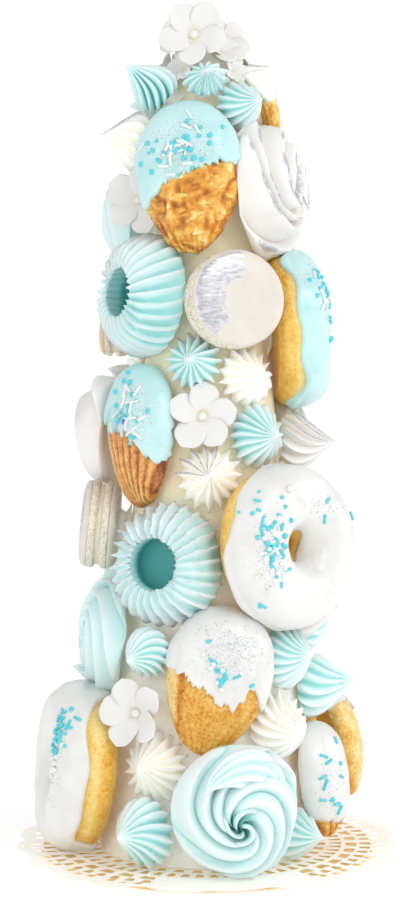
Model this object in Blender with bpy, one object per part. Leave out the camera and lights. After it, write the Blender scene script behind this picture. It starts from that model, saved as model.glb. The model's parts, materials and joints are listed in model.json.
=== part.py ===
"""A cone tower of sweets: meringue kisses, piped rings, roses, macarons, doughnuts, madeleines
and sugar flowers set round an iced cone, on a paper lace doily and a gold cake board.

Metres, +Z up, with the origin at the centre of the board's underside. Sizes below are in
millimetres. Every sweet is modelled lying on its flat seat, facing +Z, and is then set on
the cone by its height and its bearing: 0 is the front (-Y), and the bearing grows towards +X.
"""
import math

import bmesh
import bpy
from mathutils import Matrix, Vector

MM = 0.001
GAP = 0.3                   # left between any piece and what it touches

BOARD_RADIUS = 88
BOARD_DEPTH = 2.0
BOARD_SIDES = 40
DOILY_RADIUS = 101
DOILY_DEPTH = 0.6
DOILY_SCALLOPS = 24
SCALLOP_DEPTH = 4.5
SCALLOP_POINTS = 4

CONE_HEIGHT = 398
CONE_BASE_RADIUS = 57
CONE_TOP_RADIUS = 19
CONE_DOME = 19              # height of the icing heaped on the cone's flat top
CONE_SIDES = 32
CONE_FOOT = BOARD_DEPTH + GAP + DOILY_DEPTH + GAP
CONE_SLOPE = (CONE_BASE_RADIUS - CONE_TOP_RADIUS) / CONE_HEIGHT

KISS_RIDGES = 9
KISS_TWIST = 50             # degrees that a twisted kiss's ridges turn on their way up
RING_RIDGES = 20
ROUND_SIDES = 20            # sides of a doughnut
SHELL_SIDES = 14            # sides of a macaron
ROSE_SIDES = 16
MADELEINE_RIBS = 9
PETALS = 5
PETAL_THICKNESS = 1.6

AQUA = (0.42, 0.78, 0.80)
CREAM = (0.88, 0.84, 0.74)
WHITE = (0.90, 0.90, 0.88)
CRUST = (0.72, 0.42, 0.14)
GOLD = (0.80, 0.62, 0.28)


# ---------------------------------------------------------------- building blocks

def finish(name, colour, roughness=0.5, metallic=0.0):
    material = bpy.data.materials.new(name)
    material.use_nodes = True
    shader = material.node_tree.nodes["Principled BSDF"]
    shader.inputs["Base Color"].default_value = (*colour, 1)
    shader.inputs["Roughness"].default_value = roughness
    shader.inputs["Metallic"].default_value = metallic
    return material


def ring_of(radii, height, twist=0.0):
    """A closed ring of points at one height, with one radius for each point."""
    step = 2 * math.pi / len(radii)
    return [Vector((r * math.cos(i * step + twist), r * math.sin(i * step + twist), height))
            for i, r in enumerate(radii)]


def skin(rings, tip=None, tube=False):
    """A closed mesh through rings that climb from the seat. The last ring closes with a flat
    face or on a tip, and a tube joins its last ring to its first."""
    bm = bmesh.new()
    loops = [[bm.verts.new(point * MM) for point in ring] for ring in rings]
    pairs = list(zip(loops, loops[1:]))
    if tube:
        pairs.append((loops[-1], loops[0]))
    count = len(loops[0])
    for low, high in pairs:
        for i in range(count):
            j = (i + 1) % count
            bm.faces.new((low[i], low[j], high[j], high[i]))
    if not tube:
        bm.faces.new(reversed(loops[0]))
        if tip is None:
            bm.faces.new(loops[-1])
        else:
            top = bm.verts.new(Vector(tip) * MM)
            for i in range(count):
                bm.faces.new((loops[-1][i], loops[-1][(i + 1) % count], top))
    bmesh.ops.recalc_face_normals(bm, faces=bm.faces)
    mesh = bpy.data.meshes.new("sweet")
    bm.to_mesh(mesh)
    bm.free()
    mesh.shade_smooth()
    mesh.set_sharp_from_angle(angle=math.radians(50))
    return mesh


def place(name, mesh, material, frame=Matrix()):
    piece = bpy.data.objects.new(name, mesh)
    if not mesh.materials:
        mesh.materials.append(material)
    bpy.context.scene.collection.objects.link(piece)
    piece.matrix_world = frame
    return piece


# ---------------------------------------------------------------- where a sweet sits

def cone_radius(height):
    return CONE_BASE_RADIUS - CONE_SLOPE * (height - CONE_FOOT)


def seat(height, bearing, lift=0.0, spin=0.0, lean=0.0, turn=0.0):
    """The frame of a seat that touches the cone at this height and bearing.

    lift stands it further off, on its dab of icing. spin turns the sweet about its own
    axis, lean tips its face up and turn swings its face round towards growing bearings.
    Angles are in degrees.
    """
    out = Matrix.Rotation(math.radians(bearing), 4, "Z")
    upright = Matrix.Rotation(math.radians(90), 4, "X")      # +Z of the sweet becomes -Y
    reach = cone_radius(height) + GAP + lift
    origin = out @ Vector((0, -reach, height))
    slope = math.degrees(math.atan(CONE_SLOPE))
    tip_up = Matrix.Rotation(math.radians(-(slope + lean)), 4, "X")
    swing = Matrix.Rotation(math.radians(turn), 4, "Z")
    spun = Matrix.Rotation(math.radians(spin), 4, "Z")
    return Matrix.Translation(origin * MM) @ out @ swing @ tip_up @ upright @ spun


def on_top(height, across, forward, lean, bearing):
    """The frame of a seat above the cone's flat top, its face leaning out along a bearing."""
    out = Matrix.Rotation(math.radians(bearing), 4, "Z")
    tip = Matrix.Rotation(math.radians(lean), 4, "X")
    return Matrix.Translation(Vector((across, -forward, height)) * MM) @ out @ tip


# ---------------------------------------------------------------- the sweets

def kiss(width, depth, twist=0.0, groove=0.17):
    """A piped meringue: a ribbed drop on a flat foot, drawn out to a point."""
    levels = ((0.0, 0.86), (0.2, 1.0), (0.6, 0.58))
    rings = []
    for share, size in levels:
        crest = width / 2 * size
        radii = [crest * (1 - groove * (i % 2)) for i in range(2 * KISS_RIDGES)]
        rings.append(ring_of(radii, depth * share, math.radians(twist) * share))
    return skin(rings, tip=(0, 0, depth))


def piped_ring(width, hole, depth, groove=0.13):
    """A meringue ring: a round rope in a circle, ribbed across from rim to hole."""
    middle = (width + hole) / 4
    half = (width - hole) / 4
    profile = ((0.80, 0.0), (1.0, 0.42), (0.25, 1.0), (-0.8, 0.72), (-0.9, 0.0))
    rings = []
    for across, up in profile:
        flute = groove if up else groove / 2
        radii = [middle + half * across * (1 - flute * (i % 2)) for i in range(2 * RING_RIDGES)]
        rings.append(ring_of(radii, depth * up))
    for ring in rings[2:4]:
        for point in ring[1::2]:
            point.z *= 1 - groove
    return skin(rings, tube=True)


def doughnut(width, hole, depth):
    """A ring doughnut with a flattened back."""
    middle = (width + hole) / 4
    half = (width - hole) / 4
    profile = ((0.62, 0.0), (1.0, 0.36), (0.72, 0.84), (0.0, 1.0), (-0.75, 0.8), (-1.0, 0.42),
               (-0.6, 0.0))
    rings = [ring_of([middle + half * across] * ROUND_SIDES, depth * up)
             for across, up in profile]
    return skin(rings, tube=True)


def rose(width, depth, petals=3, wind=1.6):
    """A piped rose: a low dome whose swirled edges climb round its centre."""
    levels = ((0.0, 0.82), (0.34, 1.0), (0.66, 0.84), (0.92, 0.58), (0.90, 0.30))
    rings = []
    for share, size in levels:
        radii, heights = [], []
        for i in range(ROSE_SIDES):
            angle = 2 * math.pi * i / ROSE_SIDES
            swirl = math.cos(petals * angle + wind * 2 * math.pi * (1 - size))
            radii.append(width / 2 * size * (1 + 0.07 * swirl))
            heights.append(depth * share * (1 + 0.10 * swirl))
        ring = ring_of(radii, 0)
        for point, height in zip(ring, heights):
            point.z = height
        rings.append(ring)
    return skin(rings, tip=(0, 0, depth * 0.97))


def macaron(width, depth):
    """A sandwich of two domed shells with a thin filling sunk between their feet."""
    profile = ((0.84, 0.0), (1.0, 0.24), (0.99, 0.42), (0.91, 0.50), (0.99, 0.58), (1.0, 0.76),
               (0.80, 0.96))
    rings = [ring_of([width / 2 * size] * SHELL_SIDES, depth * up) for size, up in profile]
    return skin(rings, tip=(0, 0, depth))


def madeleine(length, width, depth):
    """A shell-shaped sponge: an oval that narrows to its foot, with ribs that meet there."""
    levels = ((0.0, 0.88, 0.0), (0.34, 1.0, 0.0), (0.78, 0.80, 0.08), (0.97, 0.42, 0.16))
    rings = []
    for share, size, shift in levels:
        ring = []
        for i in range(2 * MADELEINE_RIBS):
            angle = math.pi * i / MADELEINE_RIBS
            narrow = 1 + 0.16 * math.sin(angle)
            rib = 1 - 0.035 * (i % 2)
            across = width / 2 * size * narrow * math.cos(angle) * rib
            along = length / 2 * (size * math.sin(angle) * rib - shift)
            ring.append(Vector((across, along, depth * share)))
        rings.append(ring)
    return skin(rings, tip=(0, -0.10 * length, depth))


def flower(width, depth):
    """A sugar flower: cupped petals round a pearl, as one body on a small flat foot."""
    outline = (0.66, 0.95, 1.0, 0.95)
    radius = width / 2
    shape = [outline[i % len(outline)] for i in range(len(outline) * PETALS)]
    foot = ring_of([radius * 0.30] * len(shape), 0)
    under = ring_of([radius * r for r in shape], depth - PETAL_THICKNESS)
    over = ring_of([radius * r for r in shape], depth)
    trough = ring_of([radius * 0.40] * len(shape), depth * 0.30 + PETAL_THICKNESS)
    pearl = ring_of([radius * 0.20] * len(shape), depth * 0.62)
    return skin([foot, under, over, trough, pearl], tip=(0, 0, depth * 0.62 + radius * 0.12))


# ---------------------------------------------------------------- the stand and the cone

def cake_board():
    rings = [ring_of([BOARD_RADIUS] * BOARD_SIDES, z) for z in (0, BOARD_DEPTH)]
    return skin(rings)


def doily():
    """A thin disc whose edge is a row of round scallops."""
    radii = []
    for i in range(DOILY_SCALLOPS * SCALLOP_POINTS):
        along = (i % SCALLOP_POINTS) / SCALLOP_POINTS
        radii.append(DOILY_RADIUS - SCALLOP_DEPTH * (1 - math.sin(math.pi * along) ** 0.7))
    low = BOARD_DEPTH + GAP
    turn = math.pi / DOILY_SCALLOPS
    return skin([ring_of(radii, z, turn) for z in (low, low + DOILY_DEPTH)])


def iced_cone():
    top = CONE_FOOT + CONE_HEIGHT
    levels = ((CONE_FOOT, CONE_BASE_RADIUS),
              (top, CONE_TOP_RADIUS),
              (top + CONE_DOME * 0.7, CONE_TOP_RADIUS * 0.7),
              (top + CONE_DOME, CONE_TOP_RADIUS * 0.3))
    return skin([ring_of([radius] * CONE_SIDES, height) for height, radius in levels])


# ---------------------------------------------------------------- the whole tower

def build():
    for piece in list(bpy.data.objects):
        bpy.data.objects.remove(piece)
    aqua = finish("aqua_meringue", AQUA, 0.45)
    cream = finish("cream_meringue", CREAM, 0.5)
    white = finish("white_sugar", WHITE, 0.5)
    crust = finish("baked_crust", CRUST, 0.6)
    gold = finish("gold_board", GOLD, 0.3, 1.0)

    place("cake_board", cake_board(), gold)
    place("doily", doily(), white)
    place("cone", iced_cone(), cream)

    # sugar flowers: the crown of the tower, then down the front
    place("flower_top", flower(32, 9), white, on_top(424, -6, 14, lean=58, bearing=-8))
    place("flower_top_right", flower(24, 7), white, on_top(422.5, 8.5, -1, lean=62, bearing=24))
    place("flower_top_left", flower(28, 8), white, on_top(425.5, -10, -7, lean=60, bearing=-20))
    place("flower_upper_left", flower(30, 8), white, seat(341, -78, lift=9, turn=40))
    place("flower_middle", flower(37, 9), white, seat(229, -3, lift=2))
    place("flower_lower_left", flower(34, 9), white, seat(80, -36, lift=8))

    # madeleines
    place("madeleine_top", madeleine(78, 54, 20), crust, seat(350, -16, lift=4, spin=4))
    place("madeleine_left", madeleine(74, 47, 19), crust, seat(219, -54, spin=8))
    place("madeleine_front", madeleine(76, 53, 20), crust, seat(97, 5, lift=1, spin=-14))
    place("madeleine_right", madeleine(62, 44, 18), crust, seat(39, 72, lift=3, spin=14))
    place("madeleine_right_back", madeleine(62, 42, 16), crust, seat(50, 104, lift=16, spin=12, lean=10))
    place("madeleine_top_back", madeleine(42, 32, 13), crust, seat(387, 122, lift=8, lean=18))

    # piped rings
    place("ring_left", piped_ring(65, 27, 25), aqua, seat(291, -60))
    place("ring_front", piped_ring(64, 24, 24), aqua, seat(155, -25))

    # macarons
    place("macaron_front", macaron(49, 20), cream, seat(288, 19, lift=2))
    place("macaron_left_high", macaron(40, 16), crust, seat(280, -126, lift=19, turn=32))
    place("macaron_left_low", macaron(46, 20), white, seat(171, -90, lift=5))

    # doughnuts
    place("doughnut_right", doughnut(80, 14, 27), crust, seat(274, 97, lift=1))
    place("doughnut_front", doughnut(81, 13, 28), white, seat(163, 45, lift=3))
    place("doughnut_left", doughnut(84, 14, 30), crust, seat(46, -76, lift=3))

    # roses
    place("rose_front", rose(64, 27), aqua, seat(36, 12, lift=7, lean=-5))
    place("rose_left_high", rose(48, 22), aqua, seat(334, -120, lift=12, turn=14))
    place("rose_right_high", rose(70, 28), white, seat(346, 74))
    place("rose_left_middle", rose(62, 26), white, seat(223, -114, lift=10))
    place("rose_left_low", rose(62, 20), aqua, seat(116, -80, lift=1))

    # kisses
    kisses = (
        ("kiss_top_left", aqua, 27, 26, seat(394, -60, lift=6, lean=30)),
        ("kiss_top_front", aqua, 22, 17, seat(398, -4, lift=3, lean=28)),
        ("kiss_top_right", aqua, 26, 24, seat(388, 34, lift=3.5)),
        ("kiss_top_back", cream, 25, 14, seat(400, 72, lift=6, lean=40)),
        ("kiss_high_left", cream, 32, 26, seat(371, -84, lift=9)),
        ("kiss_high_left_back", aqua, 22, 22, seat(391, -105)),
        ("kiss_middle_left", aqua, 31, 20, seat(257, -11)),
        ("kiss_middle_right", cream, 32, 20, seat(250, 32)),
        ("kiss_right_middle", aqua, 34, 22, seat(220, 38)),
        ("kiss_right_edge", white, 32, 27, seat(215, 79, lift=4)),
        ("kiss_middle", cream, 36, 20, seat(199, 2)),
        ("kiss_left_low_back", aqua, 22, 26, seat(88, -112, lift=4)),
        ("kiss_low_left", aqua, 28, 22, seat(111, -32, lift=4, lean=-12, turn=-8)),
        ("kiss_low_right", aqua, 35, 22, seat(107, 51)),
        ("kiss_low_right_edge", aqua, 35, 30, seat(88, 80, lift=1)),
        ("kiss_right_behind", aqua, 28, 24, seat(113, 112, lift=3)),
        ("kiss_right_back", white, 28, 24, seat(125, 84)),
        ("kiss_low_cream", cream, 36, 24, seat(73, 41)),
        ("kiss_front_cream", cream, 37, 22, seat(53, -27)),
        ("kiss_foot_left", aqua, 37, 26, seat(21, -28, lift=4, lean=-4, turn=-14)),
        ("kiss_foot_right", aqua, 28, 24, seat(17, 47)),
    )
    twisted = ("kiss_top_left", "kiss_right_edge", "kiss_low_left", "kiss_low_cream")
    for name, material, width, depth, frame in kisses:
        twist = KISS_TWIST if name in twisted else 0
        place(name, kiss(width, depth, twist), material, frame)

    # the back of the tower, in the same mix
    place("doughnut_back", doughnut(82, 14, 28), white, seat(46, 158, lift=2))
    place("rose_back_low", rose(66, 26), aqua, seat(37, -139, lift=2))
    place("ring_back", piped_ring(64, 25, 24), aqua, seat(128, 167))
    place("madeleine_back_low", madeleine(72, 50, 20), crust, seat(126, -133, spin=6))
    place("macaron_back_low", macaron(45, 20), cream, seat(167, 123))
    place("rose_back", rose(61, 26), cream, seat(202, 181))
    place("macaron_back", macaron(42, 18), white, seat(218, 125.5))
    place("madeleine_back_high", madeleine(70, 48, 19), crust, seat(280, 178, spin=-6))
    place("rose_back_high", rose(50, 22), aqua, seat(346, 172))
    place("kiss_back_high", kiss(28, 22), cream, seat(391, 178))


build()
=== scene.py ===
"""The looks of the candy cone tower.

Every sweet is modelled lying down, in millimetres, and takes the place of its CAD node. The
flat seat of the node gives its frame: x runs across, y runs up the cone and z points out of it.
What varies over a piece is painted on its points as three numbers: crest (1 on a ridge, 0 in a
groove), silver (how much leaf is brushed on) and tone (how pale or how well baked). The finishes
turn the crest into painted highlight on ridges and painted shade in grooves. Some pieces also
lower their tone as painted shade in hollows.
"""
import itertools
import json
import math

import bpy
import numpy as np
from mathutils import Matrix, Vector, geometry
from mathutils.bvhtree import BVHTree


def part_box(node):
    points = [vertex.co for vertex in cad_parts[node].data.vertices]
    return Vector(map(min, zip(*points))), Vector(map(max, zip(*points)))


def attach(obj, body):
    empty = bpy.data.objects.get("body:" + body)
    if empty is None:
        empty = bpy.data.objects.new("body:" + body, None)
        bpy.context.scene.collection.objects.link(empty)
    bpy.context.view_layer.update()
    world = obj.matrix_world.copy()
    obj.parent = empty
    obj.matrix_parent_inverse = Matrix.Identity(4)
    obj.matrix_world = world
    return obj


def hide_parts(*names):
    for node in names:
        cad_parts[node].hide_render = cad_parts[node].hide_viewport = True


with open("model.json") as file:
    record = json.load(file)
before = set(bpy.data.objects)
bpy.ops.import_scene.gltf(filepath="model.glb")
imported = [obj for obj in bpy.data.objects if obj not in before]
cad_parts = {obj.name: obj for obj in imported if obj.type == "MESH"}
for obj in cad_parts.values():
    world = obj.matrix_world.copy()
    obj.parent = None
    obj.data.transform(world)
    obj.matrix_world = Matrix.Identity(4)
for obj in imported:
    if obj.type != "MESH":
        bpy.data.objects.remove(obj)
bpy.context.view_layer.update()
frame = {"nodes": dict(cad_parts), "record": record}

MM = 0.001
TURN = 2 * math.pi
RECORD = frame["record"]
SLOTS = {part["node"]: part["material_slot"] for part in RECORD["subparts"]}


# ---------------------------------------------------------------- numbers and shapes

def noise(points, size, seed=0.0):
    """Smooth value noise from -1 to 1, with lumps about this size."""
    spots = points / size + seed * 7.31
    cell = np.floor(spots)
    part = spots - cell
    part = part * part * (3 - 2 * part)
    total = np.zeros(points.shape[:-1])
    for corner in itertools.product((0, 1), repeat=3):
        share = np.prod(np.where(np.array(corner) == 1, part, 1 - part), axis=-1)
        hashed = np.sin((cell + corner) @ np.array((127.1, 311.7, 74.7))) * 43758.5453
        total += share * (hashed - np.floor(hashed))
    return 2 * total - 1


def smooth_through(keys, count):
    """Points on a smooth curve through the keys, with as many to each step between two keys."""
    keys = np.array(keys, float)
    ends = np.vstack((2 * keys[0] - keys[1], keys, 2 * keys[-1] - keys[-2]))
    along = np.linspace(0, len(keys) - 1, count)
    first = np.minimum(along.astype(int), len(keys) - 2)
    t = (along - first)[:, None]
    a, b, c, d = (ends[first + i] for i in range(4))
    return 0.5 * (2 * b + (c - a) * t + (2 * a - 5 * b + 4 * c - d) * t**2
                  + (3 * b - a - 3 * c + d) * t**3)


def ease(values, low, high):
    """0 below low, 1 above high and smooth between."""
    t = np.clip((values - low) / (high - low), 0, 1)
    return t * t * (3 - 2 * t)


def stack(x, y, z):
    """Points, or their paint, from three numbers each."""
    return np.stack(np.broadcast_arrays(x, y, z), axis=-1).astype(float)


def once_round(count):
    """Angles once round a circle."""
    return np.arange(count) / count * TURN


def round_points(reach, turn, height):
    """Points this far from the middle, at these angles and heights."""
    return stack(reach * np.cos(turn), reach * np.sin(turn), height)


def degrees_from(angle, turn):
    """How far these angles lie from one given in degrees, from -180 to 180."""
    return (np.degrees(turn) - angle + 180) % 360 - 180


def above_seat(points):
    """The same points, with none below the seat."""
    return np.maximum(points, (-np.inf, -np.inf, 0))


def normals_of(surface, first, second, step):
    """Unit normals of a surface that is worked out from two values."""
    along = surface(first + step, second) - surface(first - step, second)
    up = surface(first, second + step) - surface(first, second - step)
    cross = np.cross(along, up)
    return cross / np.maximum(np.linalg.norm(cross, axis=-1, keepdims=True), 1e-9)


def sitting_on(normal):
    """The axes of a sweet that sits on a slope: across, up the cone and out."""
    up = (Vector((0, 0, 1)) - normal * normal.z).normalized()
    return Matrix((up.cross(normal), up, normal))


RIDGE_STEPS = (0, 0.05, 0.15, 0.28, 0.42, 0.58, 0.76, 0.91)
RIDGE_LOW = 0.42


def flute_angles(ridges, soft=0.85, steps=RIDGE_STEPS, low=RIDGE_LOW):
    """Angles once round, closest together at the crest of each ridge, and the height of the
    ridges there: 1 on a crest, which is sharp, and 0 in a groove, which is round and lies
    nearer the crest before it."""
    share = np.array(steps)
    angles = (np.arange(ridges)[:, None] + share).ravel() / ridges * TURN
    away = np.where(share < low, share / low, (1 - share) / (1 - low))
    return angles, np.tile(1 - np.sin(away * math.pi / 2) ** soft, ridges)


def each_ridge(chance, ridges, spread, middle=1.0, steps=RIDGE_STEPS):
    """A value for each ridge, that fades into its neighbours'."""
    values = chance.uniform(-spread, spread, ridges)
    values = np.append(values, values[0])
    along = (np.arange(ridges)[:, None] + np.array(steps)).ravel()
    return middle + np.interp(along, np.arange(ridges + 1), values)


class Shape:
    """Points, faces and paint that grow patch by patch into one mesh."""

    def __init__(self):
        self.points, self.faces, self.paint, self.count = [], [], [], 0

    def add(self, points, faces, paint):
        flat = points.reshape(-1, 3)
        values = np.broadcast_to(np.array(paint, float), points.shape)
        self.points.append(flat)
        self.paint.append(values.reshape(-1, 3))
        self.faces.extend([[i + self.count for i in face] for face in faces])
        self.count += len(flat)

    def grid(self, points, crest=0.5, silver=0.0, tone=0.5, flip=False):
        """A patch from rows of points, each of which closes on itself."""
        rows, columns = points.shape[:2]
        index = np.arange(rows * columns).reshape(rows, columns)
        here, above = index[:-1], index[1:]
        corners = (here, np.roll(here, -1, 1), np.roll(above, -1, 1), above)
        faces = np.stack(corners, -1).reshape(-1, 4)
        if flip:
            faces = faces[:, ::-1]
        crest, silver, tone, _ = np.broadcast_arrays(crest, silver, tone, points[..., 0])
        self.add(points, faces, stack(crest, silver, tone))

    def lid(self, ring, crest=0.5, silver=0.0, tone=0.5, flip=False, middle=None):
        """A fan over one ring of points, from the middle of the ring or another point."""
        middle = ring.mean(0) if middle is None else middle
        around = np.arange(len(ring))
        faces = np.stack((around, np.roll(around, -1), np.full(len(ring), len(ring))), -1)
        if flip:
            faces = faces[:, ::-1]
        self.add(np.vstack((ring, middle)), faces, (crest, silver, tone))

    def join(self, other, axes, place):
        """Adds another shape, turned to these axes and moved to this place."""
        points = np.vstack(other.points) @ np.array(axes) + np.array(place)
        self.add(points, other.faces, np.vstack(other.paint))

    def mesh(self, name):
        """The mesh, in metres, with its paint."""
        made = bpy.data.meshes.new(name)
        made.from_pydata((np.vstack(self.points) * MM).tolist(), [], self.faces)
        values = np.ones((self.count, 4))
        values[:, :3] = np.vstack(self.paint)
        layer = made.attributes.new("paint", "FLOAT_COLOR", "POINT")
        layer.data.foreach_set("color", values.ravel())
        made.shade_smooth()
        return made


def piece(name, shape, material, slot, matrix=Matrix(), stands_for=None):
    """A finished piece of the tower, in the place of a CAD node if it stands for one."""
    made = bpy.data.objects.new(name, shape.mesh(name))
    made.data.materials.append(material)
    bpy.context.scene.collection.objects.link(made)
    made.matrix_world = matrix
    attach(made, "root")
    if stands_for:
        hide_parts(stands_for)
    return made


# ---------------------------------------------------------------- where the sweets sit

SAME_WAY, SAME_LEVEL = 0.9995, 0.2 * MM  # what makes two triangles lie in one flat seat
TAKEN = []  # the centre, the axes and the half sizes of every sweet, in millimetres


class Seat:
    """The frame and the size of a CAD node, read from its flat seat. An oblong seat has its y
    along its length instead of up the cone."""

    def __init__(self, node, oblong=False):
        mesh = frame["nodes"][node].data
        mesh.calc_loop_triangles()
        points = np.array([v.co for v in mesh.vertices])
        corners = points[np.array([t.vertices for t in mesh.loop_triangles])]
        cross = np.cross(corners[:, 1] - corners[:, 0], corners[:, 2] - corners[:, 0])
        area = np.linalg.norm(cross, axis=1) / 2
        normal = cross / np.maximum(2 * area, 1e-12)[:, None]
        level = (normal * corners.mean(1)).sum(1)
        alike = (normal @ normal.T > SAME_WAY) & (np.abs(level[:, None] - level) < SAME_LEVEL)
        seat = alike[np.argmax(alike @ area)]
        out = Vector(-(normal[seat] * area[seat, None]).sum(0)).normalized()
        centre = (corners[seat].mean(1) * area[seat, None]).sum(0) / area[seat].sum()
        across, up, out = sitting_on(out)
        if oblong:
            outline = corners[seat].reshape(-1, 3) - centre
            flat = outline @ np.array((across, up)).T
            spread, ways = np.linalg.eigh(flat.T @ flat)
            long = ways[:, 1] * np.sign(ways[1, 1])
            up = (across * long[0] + up * long[1]).normalized()
            across = up.cross(out)
            flat = outline @ np.array((across, up)).T
            shift = (flat.max(0) + flat.min(0)) / 2
            centre = centre + shift @ np.array((across, up))
        self.matrix = Matrix((across, up, out)).transposed().to_4x4()
        self.matrix.translation = Vector(centre)
        local = (points - centre) @ np.array((across, up, out)).T / MM
        reach = np.hypot(local[:, 0], local[:, 1])
        self.width = 2 * reach.max()
        self.hole = 2 * reach.min()
        self.depth = local[:, 2].max()
        self.across, self.length = (local.max(0) - local.min(0))[:2]
        self.seed = sum(ord(letter) * (i + 3) for i, letter in enumerate(node)) % 977
        TAKEN.append((centre / MM, np.array((across, up, out)), self.across / 2, self.length / 2))
        self.slot = SLOTS[node]


# ---------------------------------------------------------------- shader maths

class Value:
    """A number, colour or vector in a material, which Python operators can work on."""

    def __init__(self, recipe, socket):
        self.recipe, self.socket = recipe, socket

    def maths(self, operation, first, second):
        return self.recipe.node("ShaderNodeMath", {"operation": operation}, {0: first, 1: second})

    def __add__(self, other):
        return self.maths("ADD", self, other)

    __radd__ = __add__

    def __sub__(self, other):
        return self.maths("SUBTRACT", self, other)

    def __rsub__(self, other):
        return self.maths("SUBTRACT", other, self)

    def __mul__(self, other):
        return self.maths("MULTIPLY", self, other)

    __rmul__ = __mul__

    def __abs__(self):
        return self.maths("ABSOLUTE", self, 0.0)


class Recipe:
    """A material, and the nodes that work out what varies over it."""

    def __init__(self, name, fixed):
        self.material = bpy.data.materials.new(name)
        self.material.use_nodes = True
        self.tree = self.material.node_tree
        self.shader = self.tree.nodes["Principled BSDF"]
        for socket, value in fixed.items():
            self.feed(self.shader.inputs[socket], value)

    def feed(self, socket, value):
        if isinstance(value, Value):
            self.tree.links.new(value.socket, socket)
        elif socket.type == "RGBA":
            socket.default_value = (*value, 1)
        else:
            socket.default_value = value

    def node(self, kind, settings=None, inputs=None, out=0):
        """Any node: its settings, then its sockets by name or number, then one of its outputs."""
        made = self.tree.nodes.new(kind)
        for name, value in (settings or {}).items():
            if name == "stops":
                while len(made.color_ramp.elements) < len(value):
                    made.color_ramp.elements.new(0.5)
                for stop, (place, colour) in zip(made.color_ramp.elements, value):
                    stop.position = place
                    stop.color = (*colour, 1)
            else:
                setattr(made, name, value)
        for key, value in (inputs or {}).items():
            self.feed(made.inputs[key], value)
        return Value(self, made.outputs[out])

    def paint(self):
        """The painted crest, silver and tone."""
        colour = self.node("ShaderNodeAttribute", {"attribute_name": "paint"}, out="Color")
        return [self.node("ShaderNodeSeparateColor", inputs={0: colour}, out=i) for i in range(3)]

    def place(self, stretch=(1, 1, 1)):
        spot = self.node("ShaderNodeTexCoord", out="Object")
        return self.node("ShaderNodeMapping", inputs={"Vector": spot, "Scale": stretch})

    def grain(self, size, detail=2.0, rough=0.5, stretch=(1, 1, 1)):
        """Noise from 0 to 1, with lumps about this many millimetres across."""
        return self.node("ShaderNodeTexNoise", {}, {
            "Vector": self.place(stretch), "Scale": 1 / (size * MM), "Detail": detail,
            "Roughness": rough})

    def cells(self, size, feature="F1"):
        """Distance from the nearest of many scattered spots, this many millimetres apart."""
        return self.node("ShaderNodeTexVoronoi", {"feature": feature}, {
            "Vector": self.place(), "Scale": 1 / (size * MM)})

    def step(self, value, low, high):
        """0 at low, 1 at high and smooth between."""
        return self.node("ShaderNodeMapRange", {"interpolation_type": "SMOOTHSTEP"}, {
            "Value": value, "From Min": low, "From Max": high})

    def mix(self, share, low, high):
        return self.node("ShaderNodeMix", {"data_type": "RGBA"}, {0: share, 6: low, 7: high}, 2)

    def ramp(self, value, stops):
        return self.node("ShaderNodeValToRGB", {"stops": stops}, {0: value})

    def set(self, socket, value):
        self.feed(self.shader.inputs[socket], value)

    def bump(self, height, depth):
        """Relief this many millimetres deep."""
        self.set("Normal", self.node("ShaderNodeBump", {}, {
            "Height": height, "Distance": depth * MM, "Strength": 1.0}))


# ---------------------------------------------------------------- finishes

DARK_SILVER, PALE_SILVER = (0.40, 0.40, 0.43), (0.84, 0.84, 0.86)


def brushed_silver(recipe, colour, silver, rough, streaks):
    """Silver leaf in broken strokes, where it is painted on."""
    leaf = recipe.step(silver + (streaks - 0.5) * 0.9, 0.42, 0.62)
    shade = recipe.mix(recipe.step(streaks, 0.3, 0.75), DARK_SILVER, PALE_SILVER)
    recipe.set("Base Color", recipe.mix(leaf, colour, shade))
    recipe.set("Metallic", leaf * 0.4)
    recipe.set("Roughness", rough - leaf * 0.12)


def meringue(name, light, middle, deep, deepest, painted_glow=0.0):
    """Dried meringue, with painted highlight on its crests, painted shade in its grooves and
    brushed silver. A painted glow, where given, lifts its shade.
    """
    recipe = Recipe(name, {"Emission Color": (1.0, 0.97, 0.9), "Emission Strength": painted_glow,
                           "Subsurface Weight": 0.25, "Subsurface Scale": 0.003,
                           "Subsurface Radius": (1.0, 0.9, 0.75), "Specular IOR Level": 0.35})
    crest, silver, tone = recipe.paint()
    mottle = recipe.grain(9, 3)
    fine = recipe.grain(0.9, 3)
    # The crest paint sets painted highlight on the ridges, up to the whitest top, and painted shade
    # in the grooves, down to the deepest colour.
    level = crest * 0.8 + mottle * 0.25 + (tone - 0.5) * 0.5
    top = tuple(0.45 + 0.55 * share for share in light)
    colour = recipe.ramp(level, ((0.0, deepest), (0.14, deep), (0.40, middle), (0.78, light),
                                 (1.0, top)))
    streaks = recipe.grain(1.3, 4, 0.65, (1, 0.45, 0.6))
    brushed_silver(recipe, colour, silver, 0.40 + 0.18 * fine, streaks)
    recipe.bump(fine * 0.6 + recipe.grain(3.5, 2), 0.12)
    return recipe.material


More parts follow.
